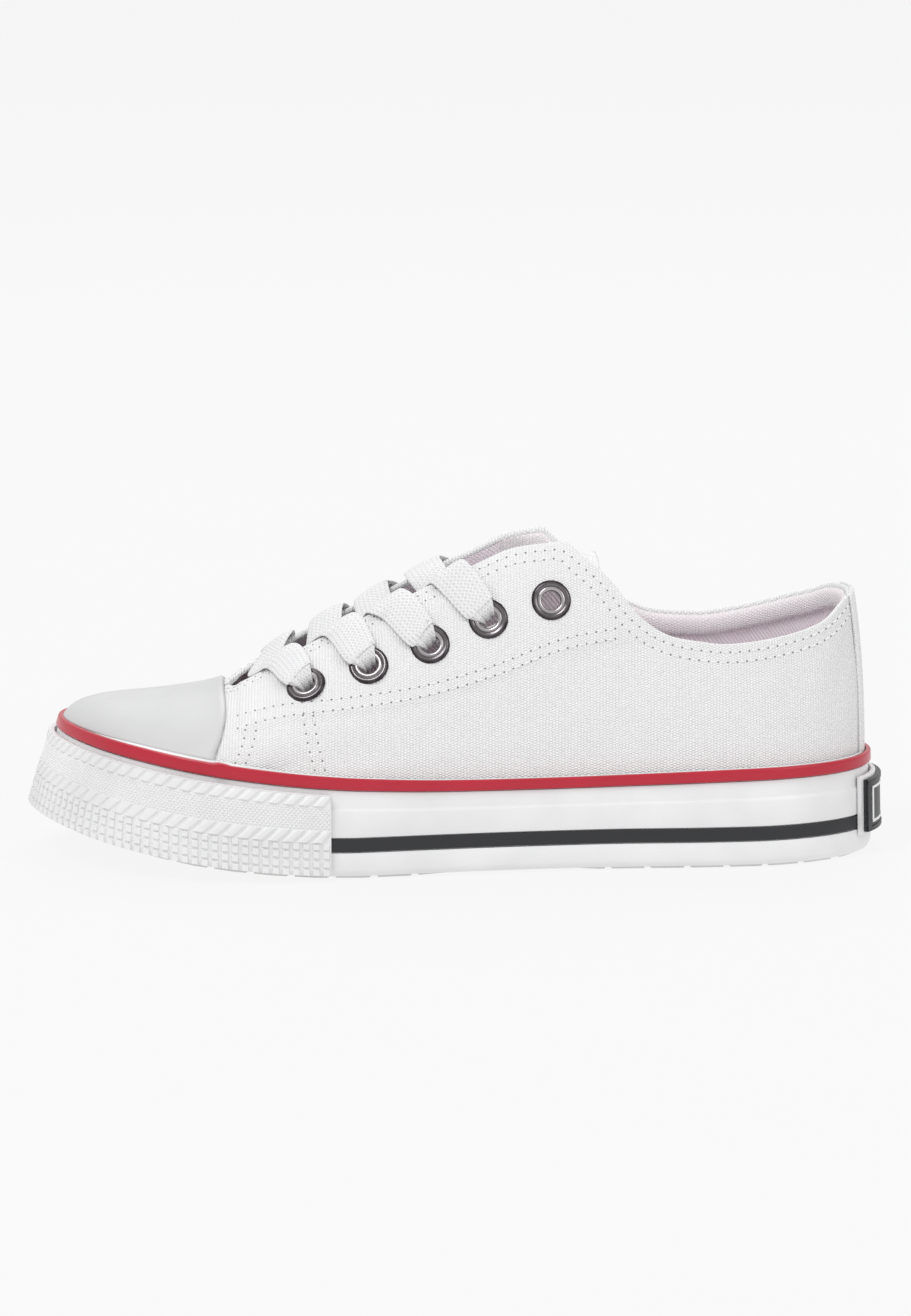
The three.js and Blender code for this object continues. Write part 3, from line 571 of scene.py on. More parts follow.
def rubber(name, color, roughness, grain=0.03, coat=0.0):
    skin = Shader(name, color, roughness, Coat_Weight=coat, Coat_Roughness=0.25, Specular_IOR_Level=0.45)
    cloud = skin.noise(0.05, 3)
    fine = skin.noise(2.2, 3)
    skin.bump(fine + cloud * 2, grain)
    dark = tuple(c * 0.93 for c in color)
    skin.set("Base Color", skin.mix(skin.clamp(cloud, 0.3, 0.7), dark, color))
    skin.set("Roughness", roughness - 0.06 + fine * 0.12)
    return skin.material


def capCloth():
    # smooth coated cloth of the toe cap, a little cooler than the canvas
    color = (0.57, 0.571, 0.576)
    skin = Shader("capCoat", color, 0.5, Specular_IOR_Level=0.4, Coat_Weight=0.1, Coat_Roughness=0.4)
    fine = skin.noise(1.6, 4)
    skin.bump(fine, 0.06)
    skin.set("Base Color", skin.mix(skin.clamp(skin.noise(0.06, 2), 0.3, 0.7), (0.55, 0.552, 0.558), color))
    skin.set("Roughness", 0.42 + fine * 0.14)
    return skin.material


def gunmetalMetal():
    metal = Shader("gunmetalRing", (0.20, 0.19, 0.20), 0.22, Metallic=1.0)
    fine = metal.noise(1.2, 3)
    metal.set("Roughness", 0.14 + fine * 0.16)
    # painted reflection: a bright highlight on the inner roll, darker reflection down the flange and in the
    # groove between them
    along, radius = metal.uv()
    roll = metal.clamp(radius, 4.15, 3.7)
    flange = metal.clamp(radius, 5.6, 4.9)
    reflectionMask = roll * 0.75 + flange * (1 - roll) * 0.22
    cloud = metal.clamp(metal.noise(0.3, 2), 0.35, 0.65)
    # painted dark reflection of the flange and groove, varied by a random cloud
    darkReflection = metal.mix(cloud, (0.035, 0.028, 0.033), (0.07, 0.062, 0.068))
    metal.set("Base Color", metal.mix(reflectionMask, darkReflection, (0.60, 0.57, 0.58)))
    metal.bump(fine, 0.02)
    return metal.material


def insoleCloth():
    color = (0.76, 0.73, 0.74)
    cloth = Shader("insoleCloth", color, 0.95, Specular_IOR_Level=0.2)
    x, y, z = cloth.axes()
    weave = cloth.sine(x + y * 0.5, 1.3) + cloth.sine(y - x * 0.5, 1.3)
    cloth.bump(weave * 0.3 + cloth.noise(2.0, 3), 0.15)
    # painted shade: the colour darkens where the weave sits low
    cloth.set("Base Color", cloth.mix(cloth.clamp(weave, -1.5, 1.0), (0.66, 0.63, 0.64), color))
    return cloth.material


finish = {
    "canvas": canvasCloth("canvasRib", (0.88, 0.88, 0.882), 0.95, 0.78, 0.2),
    "lace": laceCloth(),
    "lining": liningTwill(),
    "cap": capCloth(),
    "thread": rubber("stitchThread", (0.85, 0.85, 0.85), 0.8, 0.02),
    # painted shade: dark discs stand in for the shade inside the stitch holes
    "pinholeShade": rubber("stitchHole", (0.24, 0.235, 0.235), 0.9, 0.02),
    "white": rubber("whiteRubber", (0.79, 0.79, 0.797), 0.42, 0.03, 0.15),
    "bumper": rubber("bumperRubber", (0.79, 0.79, 0.797), 0.5, 0.02),
    "collar": canvasCloth("collarTwill", (0.90, 0.85, 0.875), 1.0, 0.8, 0.14),
    "outsole": rubber("outsoleRubber", (0.74, 0.735, 0.72), 0.6, 0.05),
    "red": rubber("redRubber", (0.46, 0.006, 0.027), 0.3, 0.006, 0.2),
    "black": rubber("blackRubber", (0.016, 0.0165, 0.019), 0.42, 0.02, 0.05),
    "gunmetal": gunmetalMetal(),
    "insole": insoleCloth(),
}
print("materials made")

# camera and light
camera = {"azimuth": -2.5, "elevation": 10.5, "distance": 1.8, "aim": (0, 0, 0.059), "lens": 162.79}


def addCamera():
    turn, rise = math.radians(camera["azimuth"]), math.radians(camera["elevation"])
    away = Vector((math.sin(turn) * math.cos(rise), -math.cos(turn) * math.cos(rise), math.sin(rise)))
    aim = Vector(camera["aim"])
    data = bpy.data.cameras.new("photoCamera")
    data.lens = camera["lens"]
    eye = bpy.data.objects.new("photoCamera", data)
    eye.location = aim + away * camera["distance"]
    eye.rotation_euler = (-away).to_track_quat("-Z", "Y").to_euler()
    scene.collection.objects.link(eye)
    scene.camera = eye


studio = {
    "world": 0.74,
    "lamps": [  # place, aim, size, watts
        ((-0.9, -1.1, 2.0), (0, 0, 0.05), 1.2, 22.5),
        ((1.3, -1.2, 1.0), (0, 0, 0.05), 1.0, 5.5),
        ((0.2, 1.3, 1.6), (0, 0, 0.08), 1.2, 12),
    ],
    "floor": (0.06, 0.06, 0.06), "floorGlow": 0.87,
}


def addLight():
    world = bpy.data.worlds.new("studioWorld")
    scene.world = world
    world.use_nodes = True
    background = world.node_tree.nodes["Background"]
    background.inputs["Color"].default_value = (1, 1, 1, 1)
    background.inputs["Strength"].default_value = studio["world"]
    for i, (place, aim, size, watts) in enumerate(studio["lamps"]):
        data = bpy.data.lights.new(f"softbox{i + 1}", "AREA")
        data.shape = "DISK"
        data.size = size
        data.energy = watts
        lamp = bpy.data.objects.new(data.name, data)
        lamp.location = place
        lamp.rotation_euler = (Vector(aim) - Vector(place)).to_track_quat("-Z", "Y").to_euler()
        scene.collection.objects.link(lamp)
    deselectAll()
    bpy.ops.mesh.primitive_plane_add(size=30)
    floor = bpy.context.object
    floor.name = "paleFloor"
    paint = Shader("paleFloor", studio["floor"], 0.9, Specular_IOR_Level=0.0)
    grain = paint.clamp(paint.noise(0.01, 2), 0.2, 0.8)
    paint.set("Base Color", paint.mix(grain, tuple(c * 0.99 for c in studio["floor"]), studio["floor"]))
    paint.surface.inputs["Emission Color"].default_value = (1, 1, 1, 1)
    paint.surface.inputs["Emission Strength"].default_value = studio["floorGlow"]
    floor.data.materials.append(paint.material)
    scene.view_settings.view_transform = "Standard"


addCamera()
addLight()
print("camera and light placed")

# canvas upper
canvas = {
    "columns": 520, "footRows": 5, "outerRows": 72, "rollRows": 7, "innerRows": 14,
    "roll": 1.0, "innerWall": 2.0, "stepWidth": 1.6, "holeRadius": 3.7,
    # how the columns crowd together at the front of the throat
    "columnAt": [0, .28, .35, .5, .65, .72, 1],
    "turnAt": [0, 1.96, 2.17, math.pi, 2 * math.pi - 2.17, 2 * math.pi - 1.96, 2 * math.pi],
}
# Soft troughs in the canvas: side, from the heel, height, length, width, lean, depth.
creaseRows = [
    (-1, .715, 33, 16, 5, 1.2, .55), (-1, .668, 34, 20, 6, 1.35, .4), (-1, .60, 37, 26, 7, 1.5, .3),
    (-1, .05, 52, 26, 6, 0.15, .4), (-1, .10, 45, 30, 8, -0.1, .3), (-1, .30, 55, 34, 8, .35, .3),
    (-1, .235, 50, 30, 9, .1, .25), (-1, .42, 46, 40, 9, 1.2, .25),
    (1, .70, 33, 18, 5, -1.2, .5), (1, .64, 35, 22, 6, -1.35, .4), (1, .06, 50, 26, 6, -0.15, .4),
    (1, .28, 52, 34, 8, -.3, .3), (1, .45, 45, 40, 9, -1.2, .3),
]


def creaseDepth(p):
    share, side = shareOf(p[..., 0]), np.where(p[..., 1] < centreAt(shareOf(p[..., 0])), -1, 1)
    depth = np.zeros(share.shape)
    for row in creaseRows:
        dx, dz = p[..., 0] - xAt(row[1]), p[..., 2] - row[2]
        lean = row[5]
        along = dz * math.cos(lean) + dx * math.sin(lean)
        across = dx * math.cos(lean) - dz * math.sin(lean)
        across = across + 0.012 * along ** 2 * (1 if row[1] > .3 else -.6)
        trough = np.exp(-(along / row[3]) ** 2 * 2) * np.exp(-(across / row[4]) ** 2 * 2)
        ridgeUp = np.exp(-(along / row[3]) ** 2 * 2) * np.exp(-((across - row[4]) / row[4]) ** 2 * 2)
        depth += np.where(side == row[0], row[6] * (trough - 0.6 * ridgeUp), 0)
    return depth


def eyestayLift(p):
    share = shareOf(p[..., 0])
    over = p[..., 2] - shoe["instepHeight"] * read(eyestayRows, 1, share)
    rise = smoothstep(over, -canvas["stepWidth"] / 2, canvas["stepWidth"] / 2)
    ends = smoothstep(share, .24, .3) * (1 - smoothstep(share, .752, .758))
    return shoe["eyestayStep"] * rise * ends


def upperSurface(turn, around, grow=0.0):
    # the last with its eyestay step and creases
    p = formPoint(turn, around, 0)
    fade = smoothstep(around, 0.02, 0.15)
    lift = eyestayLift(p) - creaseDepth(p) * fade
    return formPoint(turn, around, grow + lift)


def aroundStep(turn, around, distance):
    # go a distance back down the section from a place on it
    p = formPoint(turn, around, 0)
    q = formPoint(turn, around - 0.02, 0)
    speed = np.linalg.norm(p - q, axis=-1) / 0.02
    r = formPoint(turn, around - distance / speed / 2, 0)
    s = formPoint(turn, around - distance / speed / 2 - 0.02, 0)
    speed = np.maximum(np.linalg.norm(r - s, axis=-1) / 0.02, 5)
    return around - distance / speed


def makeUpper():
    s = canvas
    rows = s["footRows"] + s["outerRows"] + s["rollRows"] + s["innerRows"] + 4
    outerEnd = s["footRows"] + s["outerRows"]
    rollEnd = outerEnd + s["rollRows"]
    innerEnd = rollEnd + s["innerRows"]

    def place(u, v):
        turn = np.interp(u, s["columnAt"], s["turnAt"])
        top = topOf(turn)
        closed = top > 0.9995
        edge = np.where(closed, 1, aroundStep(turn, top, s["roll"]))
        k = np.round(v * rows)
        # up the outside, over the rolled edge and down the inside
        outer = np.clip((k - s["footRows"]) / s["outerRows"], 0, 1)
        foot = np.clip(1 - k / s["footRows"], 0, 1)
        angle = np.clip((k - outerEnd) / s["rollRows"], 0, 1) * math.pi
        inner = np.clip((k - rollEnd) / s["innerRows"], 0, 1)
        footInside = np.clip((k - innerEnd) / 4, 0, 1)
        over = np.where(closed, 0, np.sin(angle))
        span = top - edge
        around = edge * outer ** 0.9 + over * span
        down = edge * (1 - inner) ** 0.9
        around = np.where(k > rollEnd, down, around) - np.maximum(foot, footInside)
        grow = -(1 - np.cos(angle)) * s["innerWall"] / 2
        p = upperSurface(turn, around, grow)
        rise = lineAlong(turn, np.clip(around, 0, 1))
        uv = np.stack([np.interp(turn, edgeTurns, rimLength), rise], -1)
        return p, uv

    piece = gridPiece("canvasUpper", s["columns"], rows, place)
    punchEyelets(piece, s["holeRadius"])
    return piece


def eyeletFrame(side, row):
    # middle, two directions in the flange's plane and the outward normal
    share = row[0] + (shoe["medialAhead"] if side > 0 else 0)
    turn = float(turnOnForm(side, share, row[1]))
    centre = formPoint(turn, row[1], shoe["eyestayStep"])
    along = formPoint(turn + .02, row[1], .5) - formPoint(turn - .02, row[1], .5)
    up = formPoint(turn, row[1] + .02, .5) - formPoint(turn, row[1] - .02, .5)
    normal = np.cross(along, up)
    normal /= np.linalg.norm(normal)
    if normal[2] < 0:
        normal = -normal
    across = np.cross((0, 0, 1), normal)
    across /= np.linalg.norm(across)
    return centre, across, np.cross(normal, across), normal


def punchEyelets(piece, radius):
    # the faces inside each eyelet's hole come out; the flanges cover the cut
    mesh = piece.data
    middles = np.empty(len(mesh.polygons) * 3)
    mesh.polygons.foreach_get("center", middles)
    middles = middles.reshape(-1, 3) / mm
    cut = np.zeros(len(middles), bool)
    for side in (-1, 1):
        for row in eyeletRows:
            centre, across, up, normal = eyeletFrame(side, row)
            away = middles - centre
            depth = away @ normal
            cut |= (np.abs(depth) < 6) & (np.linalg.norm(away - np.outer(depth, normal), axis=1) < radius)
    deselectAll()
    piece.select_set(True)
    bpy.context.view_layer.objects.active = piece
    bpy.ops.object.mode_set(mode="EDIT")
    bpy.ops.mesh.select_mode(type="FACE")
    bpy.ops.mesh.select_all(action="DESELECT")
    bpy.ops.object.mode_set(mode="OBJECT")
    mesh.polygons.foreach_set("select", cut)
    bpy.ops.object.mode_set(mode="EDIT")
    bpy.ops.mesh.delete(type="FACE")
    bpy.ops.mesh.select_mode(type="VERT")
    bpy.ops.object.mode_set(mode="OBJECT")


sectionSteps = np.linspace(0, 1, 41)
sectionLines = formPoint(edgeTurns[::8, None], sectionSteps[None, :], 0)
sectionRun = np.concatenate([np.zeros((len(sectionLines), 1)),
                             np.cumsum(np.linalg.norm(np.diff(sectionLines, axis=1), axis=2), 1)], 1)


def lineAlong(turn, around):
    # length up the section, from a table over turn and around
    row = np.mod(turn, 2 * math.pi) / (edgeTurns[8] - edgeTurns[0])
    return tableAt(sectionRun, row, np.asarray(around, float) * (len(sectionSteps) - 1))


upperPiece = finishPiece(makeUpper(), finish["canvas"], ["upper"])
print("canvas upper made")

# lining with its padded collar
lining = {"columns": 260, "rows": 44, "inset": 2.15, "holeRadius": 3.9}
collarBand = {"columns": 240, "rows": 16, "height": 6.5, "pad": 1.7, "start": 0.2}


def makeLining():
    s = lining

    def place(u, v):
        turn = np.interp(u, canvas["columnAt"], canvas["turnAt"])
        top = topOf(turn)
        closed = top > 0.9995
        edge = np.where(closed, 1, aroundStep(turn, top, 1.2))
        around = edge * v ** 0.9
        foot = np.clip(1 - v / 0.06, 0, 1)
        p = upperSurface(turn, around - foot, -s["inset"])
        uv = np.stack([np.interp(turn, edgeTurns, rimLength), lineAlong(turn, around)], -1)
        return p, uv

    piece = gridPiece("lining", s["columns"], s["rows"], place)
    punchEyelets(piece, s["holeRadius"])
    return piece


def makeCollarBand():
    # padded band of paler cloth inside the collar, down to its seam
    s = collarBand
    reach = 1.45

    def place(u, v):
        turn = np.mod((2 * u - 1) * reach + 2 * math.pi, 2 * math.pi)
        edge = aroundStep(turn, topOf(turn), 0.7)
        angle = v * 2 * math.pi
        below = s["height"] * (1 - np.cos(angle)) / 2
        ends = smoothstep(1 - np.abs(2 * u - 1), 0, .1)
        puff = s["pad"] * ends * np.maximum(np.sin(angle), 0) ** .7 + .3 * np.sin(angle)
        p = upperSurface(turn, aroundStep(turn, edge, below), -lining["inset"] + .1 - np.maximum(puff, -.1))
        uv = np.stack([np.interp(turn, edgeTurns, rimLength), below + (angle > math.pi) * 20], -1)
        return p, uv

    return gridPiece("collarBand", s["columns"], s["rows"], place)


finishPiece(makeLining(), finish["lining"])
finishPiece(makeCollarBand(), finish["collar"])
print("lining made")

# bands round the sole


def rounded(points, radius, steps=3, closed=True):
    # a profile with its corners rounded; points are inset, height and an optional own radius
    made = []
    count = len(points)
    for i in range(count):
        p = np.array(points[i][:2], float)
        r = points[i][2] if len(points[i]) > 2 else radius
        before = np.array(points[(i - 1) % count][:2], float)
        after = np.array(points[(i + 1) % count][:2], float)
        a, b = before - p, after - p
        r = min(r, np.linalg.norm(a) * 0.45, np.linalg.norm(b) * 0.45)
        start, end = p + a / np.linalg.norm(a) * r, p + b / np.linalg.norm(b) * r
        for t in np.linspace(0, 1, steps + 1):
            made.append((1 - t) ** 2 * start + 2 * t * (1 - t) * p + t ** 2 * end)
    return np.array(made)


def bandPiece(name, profile, columns, ends=None, bend=None, angle=40):
    # a closed profile swept round the wall, all the way or between two turns
    loop = np.vstack([profile, profile[:1]])
    run = lineLength(loop)

    def place(u, v):
        k = np.round(v * (len(loop) - 1)).astype(int)
        inset, height = loop[k, 0], loop[k, 1]
        if ends is None:
            turn = u * 2 * math.pi
        else:
            # the end columns shrink to the profile's middle, so that the ends are closed
            step = np.clip(u * (columns + 4) - 2, 0, columns) / columns
            turn = ends[0] + (ends[1] - ends[0]) * step
            last = (np.round(u * (columns + 4)) < 1) | (np.round(u * (columns + 4)) > columns + 3)
            inset = np.where(last, loop[:-1, 0].mean(), inset)
            height = np.where(last, loop[:-1, 1].mean(), height)
        if bend:
            inset, height = bend(turn, inset, height)
        p = wallPoint(turn, inset, height)
        uv = np.stack([np.interp(np.mod(turn, 2 * math.pi), edgeTurns, rimLength), run[k]], -1)
        return p, uv

    return gridPiece(name, columns + (4 if ends is not None else 0), len(loop) - 1, place, angle=angle)


sole = {
    "redHeight": 3.6, "redDepth": 1.1, "redProud": 0.4, "stripeBottom": 8.5, "stripeHeight": 4,
    "stripeDepth": 0.8, "stripeProud": 0.1, "stepHeight": 20.8, "stepDepth": 0.5, "footRound": 2.7,
    "innerFace": 2.9, "columns": 360,
}


def makeFoxing():
    s = sole
    top = shoe["foxingHeight"]
    redSeat = top - s["redHeight"] - gap
    stripeTop = s["stripeBottom"] + s["stripeHeight"]
    lift = shoe["foxingLift"]
    face = [(2.2, lift, .3), (1.2, lift, .8), (0.2, lift + 1.3, .8), (0, lift + s["footRound"] + .6, .6),
            (0, s["stripeBottom"] - gap, .25), (s["stripeDepth"], s["stripeBottom"] - gap, .1),
            (s["stripeDepth"], stripeTop + gap, .1), (0, stripeTop + gap, .25),
            (0, s["stepHeight"], .35), (s["stepDepth"], s["stepHeight"] + .7, .35),
            (s["stepDepth"], redSeat, .2), (s["redDepth"] + gap, redSeat, .1), (s["redDepth"] + gap, top, .2)]
    inner = [(1.0, top, 0), (0.75, top, 0), (0.5, top, 0), (0.25, top, 0), (0, top, 0), (0, lift, 0)]
    facePoints = rounded(face, 0.2, 2)
    facePoints = facePoints[3:]
    loopFace = len(facePoints)
    innerCount = 9
    rows = loopFace + innerCount

    def place(u, v):
        turn = u * 2 * math.pi
        k = np.round(v * rows).astype(int) % rows
        onFace = k < loopFace
        inset = facePoints[np.minimum(k, loopFace - 1), 0]
        height = facePoints[np.minimum(k, loopFace - 1), 1]
        outer = wallPoint(turn, inset, height)
        # the inner face follows the canvas upper
        j = np.clip(k - loopFace, 0, innerCount - 1) / (innerCount - 1)
        crown = wallHeight(turnShare(turn), top)
        level = lift + (crown - lift) * (1 - j)
        around = aroundAtHeight(turn, np.maximum(level, shoe["sectionRise"]), 0.45)
        inside = formPoint(turn, around, 0.45)
        inside[..., 2] = np.where(level < shoe["sectionRise"],
                                  inside[..., 2] + level - shoe["sectionRise"], inside[..., 2])
        p = np.where(onFace[:, None], outer, inside)
        uv = np.stack([np.interp(turn, edgeTurns, rimLength), height], -1)
        return p, uv

    return gridPiece("foxingWall", s["columns"], rows, place, angle=40)


finishPiece(makeFoxing(), finish["white"], ["foxing"])


def makeRedStrip():
    s = sole
    top = shoe["foxingHeight"]
    bottom = top - s["redHeight"]
    lap = turnAt(-1, .778)

    def bend(turn, inset, height):
        # the strip's two ends lap behind the toe cap
        near = np.exp(-((turn - lap) / .018) ** 4)
        step = 0.45 * near * (inset < 0.3)
        return inset - step, height + 0.45 * near * (height > bottom + 2)

    profile = rounded([(s["redDepth"], bottom, .2), (-s["redProud"], bottom, .8),
                       (-s["redProud"], top, 1.1), (s["redDepth"], top, .2)], .5, 4)
    return bandPiece("redStrip", profile, s["columns"], bend=bend)


finishPiece(makeRedStrip(), finish["red"], ["red_strip"])


def makeStripe():
    s = sole
    bottom, top = s["stripeBottom"], s["stripeBottom"] + s["stripeHeight"]
    profile = rounded([(s["stripeDepth"] - gap, bottom, .1), (-s["stripeProud"], bottom, .35),
                       (-s["stripeProud"], top, .35), (s["stripeDepth"] - gap, top, .1)], .3, 3)
    ends = (turnAt(1, shoe["bumperEnd"] - .0015) - 2 * math.pi, turnAt(-1, shoe["bumperEnd"] - .0015))
    return bandPiece("blackStripe", profile, s["columns"], ends)


finishPiece(makeStripe(), finish["black"], ["black_stripe"])
print("foxing, red strip and black stripe made")

# toe bumper with its relief
bumper = {
    "thickness": 1.7, "height": 25.6, "rib": 0.5, "columns": 240,
    "ribPitch": 4.4, "meshPitch": 1.3, "studPitch": 3.0,
    "slantBands": [(22.2, 25.3, 1.0), (11.5, 15.3, 1.0)],
    "meshBand": (15.6, 21.9),
    "studRows": [(9.4, 11.2), (6.8, 9.0), (4.1, 6.1), (1.6, 3.6)],
}
bumperEnds = (float(turnAt(-1, shoe["bumperEnd"])), float(turnAt(1, shoe["bumperEnd"])))
bumperTurns = np.linspace(bumperEnds[0], bumperEnds[1], 900)
bumperLine = wallPoint(bumperTurns, -bumper["thickness"], 12.0)
bumperRun = lineLength(bumperLine)


def onBumper(copies):
    # local along, height and depth of each copy onto the bumper's face
    turn = np.interp(copies[..., 0], bumperRun, bumperTurns)
    return wallPoint(turn, -gap - bumper["thickness"] + bumper["rib"] - copies[..., 2], copies[..., 1])


def makeBumper():
    s = bumper
    face = -gap - s["thickness"] + s["rib"]
    low = shoe["foxingLift"] + 0.6
    profile = rounded([(-gap, low, .1), (face + .3, low, .6), (face, low + 1.4, .4),
                       (face, s["height"] - .5, .3), (face - s["rib"] * .6, s["height"], .5),
                       (-gap, s["height"], .2),
                       (-gap, 20.8, 0.1), (-gap, 12.5, 0.1)], .3, 3)
    return bandPiece("toeBumper", profile, s["columns"], bumperEnds)


def makeSlantRibs():
    # slanted ribs of the two rope-like bands
    s = bumper
    points, faces = template(bpy.ops.mesh.primitive_cube_add, size=2)
    copies = []
    for bottom, top, slant in s["slantBands"]:
        middle, half = (bottom + top) / 2, (top - bottom) / 2
        count = int(bumperRun[-1] / s["ribPitch"])
        for i in range(count):
            at = (i + .5) * bumperRun[-1] / count
            pinch = np.where(points[:, 2] > 0, .45, 1)
            local = np.empty_like(points)
            local[:, 1] = middle + points[:, 1] * half * np.where(points[:, 2] > 0, .9, 1)
            local[:, 0] = at + points[:, 0] * s["ribPitch"] * .46 * pinch - points[:, 1] * half * slant
            local[:, 2] = np.where(points[:, 2] > 0, s["rib"] * 1.1, -.1)
            copies.append(local)
    copies = np.array(copies)
    copies[..., 0] = np.clip(copies[..., 0], 0.3, bumperRun[-1] - 0.3)
    return repeated("bumperRibs", faces, onBumper(copies), 30)


def makeDiamonds():
    # fine pyramids between the bands
    s = bumper
    points, faces = template(bpy.ops.mesh.primitive_cone_add, vertices=4, radius1=1, radius2=0.22, depth=1)
    bottom, top = s["meshBand"]
    rows = int((top - bottom) / (s["meshPitch"] / 2))
    columns = int(bumperRun[-1] / s["meshPitch"])
    copies = []
    for j in range(rows):
        for i in range(columns):
            at = (i + .5 + .5 * (j % 2)) * bumperRun[-1] / (columns + .5)
            local = np.empty_like(points)
            local[:, 0] = at + points[:, 0] * s["meshPitch"] * .48
            local[:, 1] = bottom + (j + .5) * (top - bottom) / rows + points[:, 1] * s["meshPitch"] * .48
            local[:, 2] = np.where(points[:, 2] > 0, .3, -.05)
            copies.append(local)
    copies = np.array(copies)
    copies[..., 0] = np.clip(copies[..., 0], 0.3, bumperRun[-1] - 0.3)
    return repeated("bumperMesh", faces, onBumper(copies), 20)


def makeStuds():
    # blocks in four rows along the foot of the bumper
    s = bumper
    points, faces = template(bpy.ops.mesh.primitive_cube_add, size=2)
    copies = []
    for bottom, top in s["studRows"]:
        count = int(bumperRun[-1] / s["studPitch"])
        for i in range(count):
            at = (i + .5) * bumperRun[-1] / count
            taper = np.where(points[:, 2] > 0, .78, 1)
            local = np.empty_like(points)
            local[:, 0] = at + points[:, 0] * 1.08 * taper
            local[:, 1] = (bottom + top) / 2 + points[:, 1] * (top - bottom) / 2 * taper
            local[:, 2] = np.where(points[:, 2] > 0, s["rib"] * 1.2, -.1)
            copies.append(local)
    return repeated("bumperStuds", faces, onBumper(np.array(copies)), 30)


finishPiece(makeBumper(), finish["bumper"], ["toe_bumper"])
finishPiece(makeSlantRibs(), finish["bumper"])
finishPiece(makeDiamonds(), finish["bumper"])
finishPiece(makeStuds(), finish["bumper"])
print("toe bumper made")

# heel label
label = {"bottom": 7.5, "height": 16, "half": 15.5, "margin": 1, "thickness": 1.4, "frame": 1.8}


def turnAtSide(distance):
    turns = np.linspace(0, 0.9, 2000)
    x, y = rimBase(turns)
    return float(np.interp(distance, np.abs(y - shoe["sideShift"]), turns))


def heelPlate(name, half, bottom, top, near, far, radius):
    reach = turnAtSide(half)
    profile = rounded([(near, bottom, .1), (far, bottom, radius), (far, top, radius), (near, top, .1)], .3, 3)
    return bandPiece(name, profile, 60, (-reach, reach))


def makeLabel():
    s = label
    face = -gap - s["thickness"]
    finishPiece(heelPlate("labelBase", s["half"] + s["margin"], s["bottom"] - s["margin"],
                          s["bottom"] + s["height"] + s["margin"], -gap, face, .5),
                finish["white"], ["heel_label_base"])
    outer = face - gap - s["thickness"]
    finishPiece(heelPlate("labelPlate", s["half"], s["bottom"], s["bottom"] + s["height"],
                          face - .1, outer + .35, .35), finish["black"], ["heel_label"])
    # raised frame, white line inside it and a bare dark field
    reach = turnAtSide(s["half"])
    for name, inset, wide, depth, material in [("labelFrame", 0.0, 1.5, 0.0, "black"),
                                               ("labelLine", 2.4, .9, .12, "white")]:
        low, high = s["bottom"] + inset, s["bottom"] + s["height"] - inset
        edge = turnAtSide(s["half"] - inset)
        inner = turnAtSide(s["half"] - inset - wide)
        bars = []
        for part, (a, b, c, d) in enumerate([(-edge, edge, low, low + wide), (-edge, edge, high - wide, high),
                                             (-edge, -inner, low, high), (inner, edge, low, high)]):
            profile = rounded([(outer + .7, c, .1), (outer + depth, c, .25), (outer + depth, d, .25),
                               (outer + .7, d, .1)], .2, 2)
            bars.append(bandPiece(f"{name}{part}", profile, 40 if b - a > reach else 8, (a, b)))
        deselectAll()
        for bar in bars:
            bar.select_set(True)
        bpy.context.view_layer.objects.active = bars[0]
        bpy.ops.object.join()
        bars[0].name = name
        finishPiece(bars[0], finish[material])


makeLabel()
print("heel label made")

# toe cap
cap = {"columns": 200, "rows": 40, "lift": 0.3, "thickness": 1.1, "foot": .016, "end": .772}
# rear edge: height, place behind the end
capRear = [(0, .016), (.36, .012), (.43, .003), (.49, -.002), (.56, .002), (1, .002)]


def makeCap():
    s = cap
    rows, edgeRows = s["rows"], 5
    total = rows + edgeRows

    def rearTurn(side, around):
        # turn where the rear edge crosses this line of the last
        low, high = np.full(around.shape, 1.6), np.full(around.shape, math.pi)
        for _ in range(34):
            middle = (low + high) / 2
            turn = np.where(side < 0, middle, 2 * math.pi - middle)
            p = formPoint(turn, around, s["lift"])
            before = shareOf(p[..., 0]) < s["end"] + read(capRear, 1, p[..., 2] / shoe["instepHeight"])
            low, high = np.where(before, middle, low), np.where(before, high, middle)
        return low

    def place(u, v):
        side = np.where(u < .5, -1, 1)
        b = np.abs(2 * u - 1)          # 1 at the rear edge, 0 at the tip
        k = v * total
        t = np.clip(k / rows, 0, 1)
        # foot of the cap just over the sole's top edge
        turnGuess = np.where(side < 0, math.pi - b * (math.pi - 2.2), math.pi + b * (math.pi - 2.2))
        for _ in range(3):
            crown = wallHeight(turnShare(turnGuess), shoe["foxingHeight"]) - .6
            foot = aroundAtHeight(turnGuess, crown, s["lift"])
            around = foot + (1 - foot) * t
            rear = rearTurn(side, around)
            turnGuess = np.where(side < 0, math.pi - b * (math.pi - rear), math.pi + b * (math.pi - rear))
        # the rear rim rolls down to the canvas
        roll = smoothstep(1 - b, 0, .012)
        grow = s["lift"] + s["thickness"] * (0.25 + 0.75 * np.sqrt(np.clip(roll, 0, 1)))
        p = formPoint(turnGuess, around, grow)
        uv = np.stack([p[..., 0], p[..., 1]], -1)
        return p, uv

    piece = gridPiece("toeCap", s["columns"], rows + edgeRows, place)
    return piece


capPiece = makeCap()
applyModifier(capPiece, "SOLIDIFY", thickness=1.0 * mm, offset=-1)
finishPiece(capPiece, finish["cap"], ["toe_cap"])
print("toe cap made")

# backstay
backstay = {"half": 9.5, "lift": 0.3, "thickness": 0.8, "columns": 36, "rows": 70}


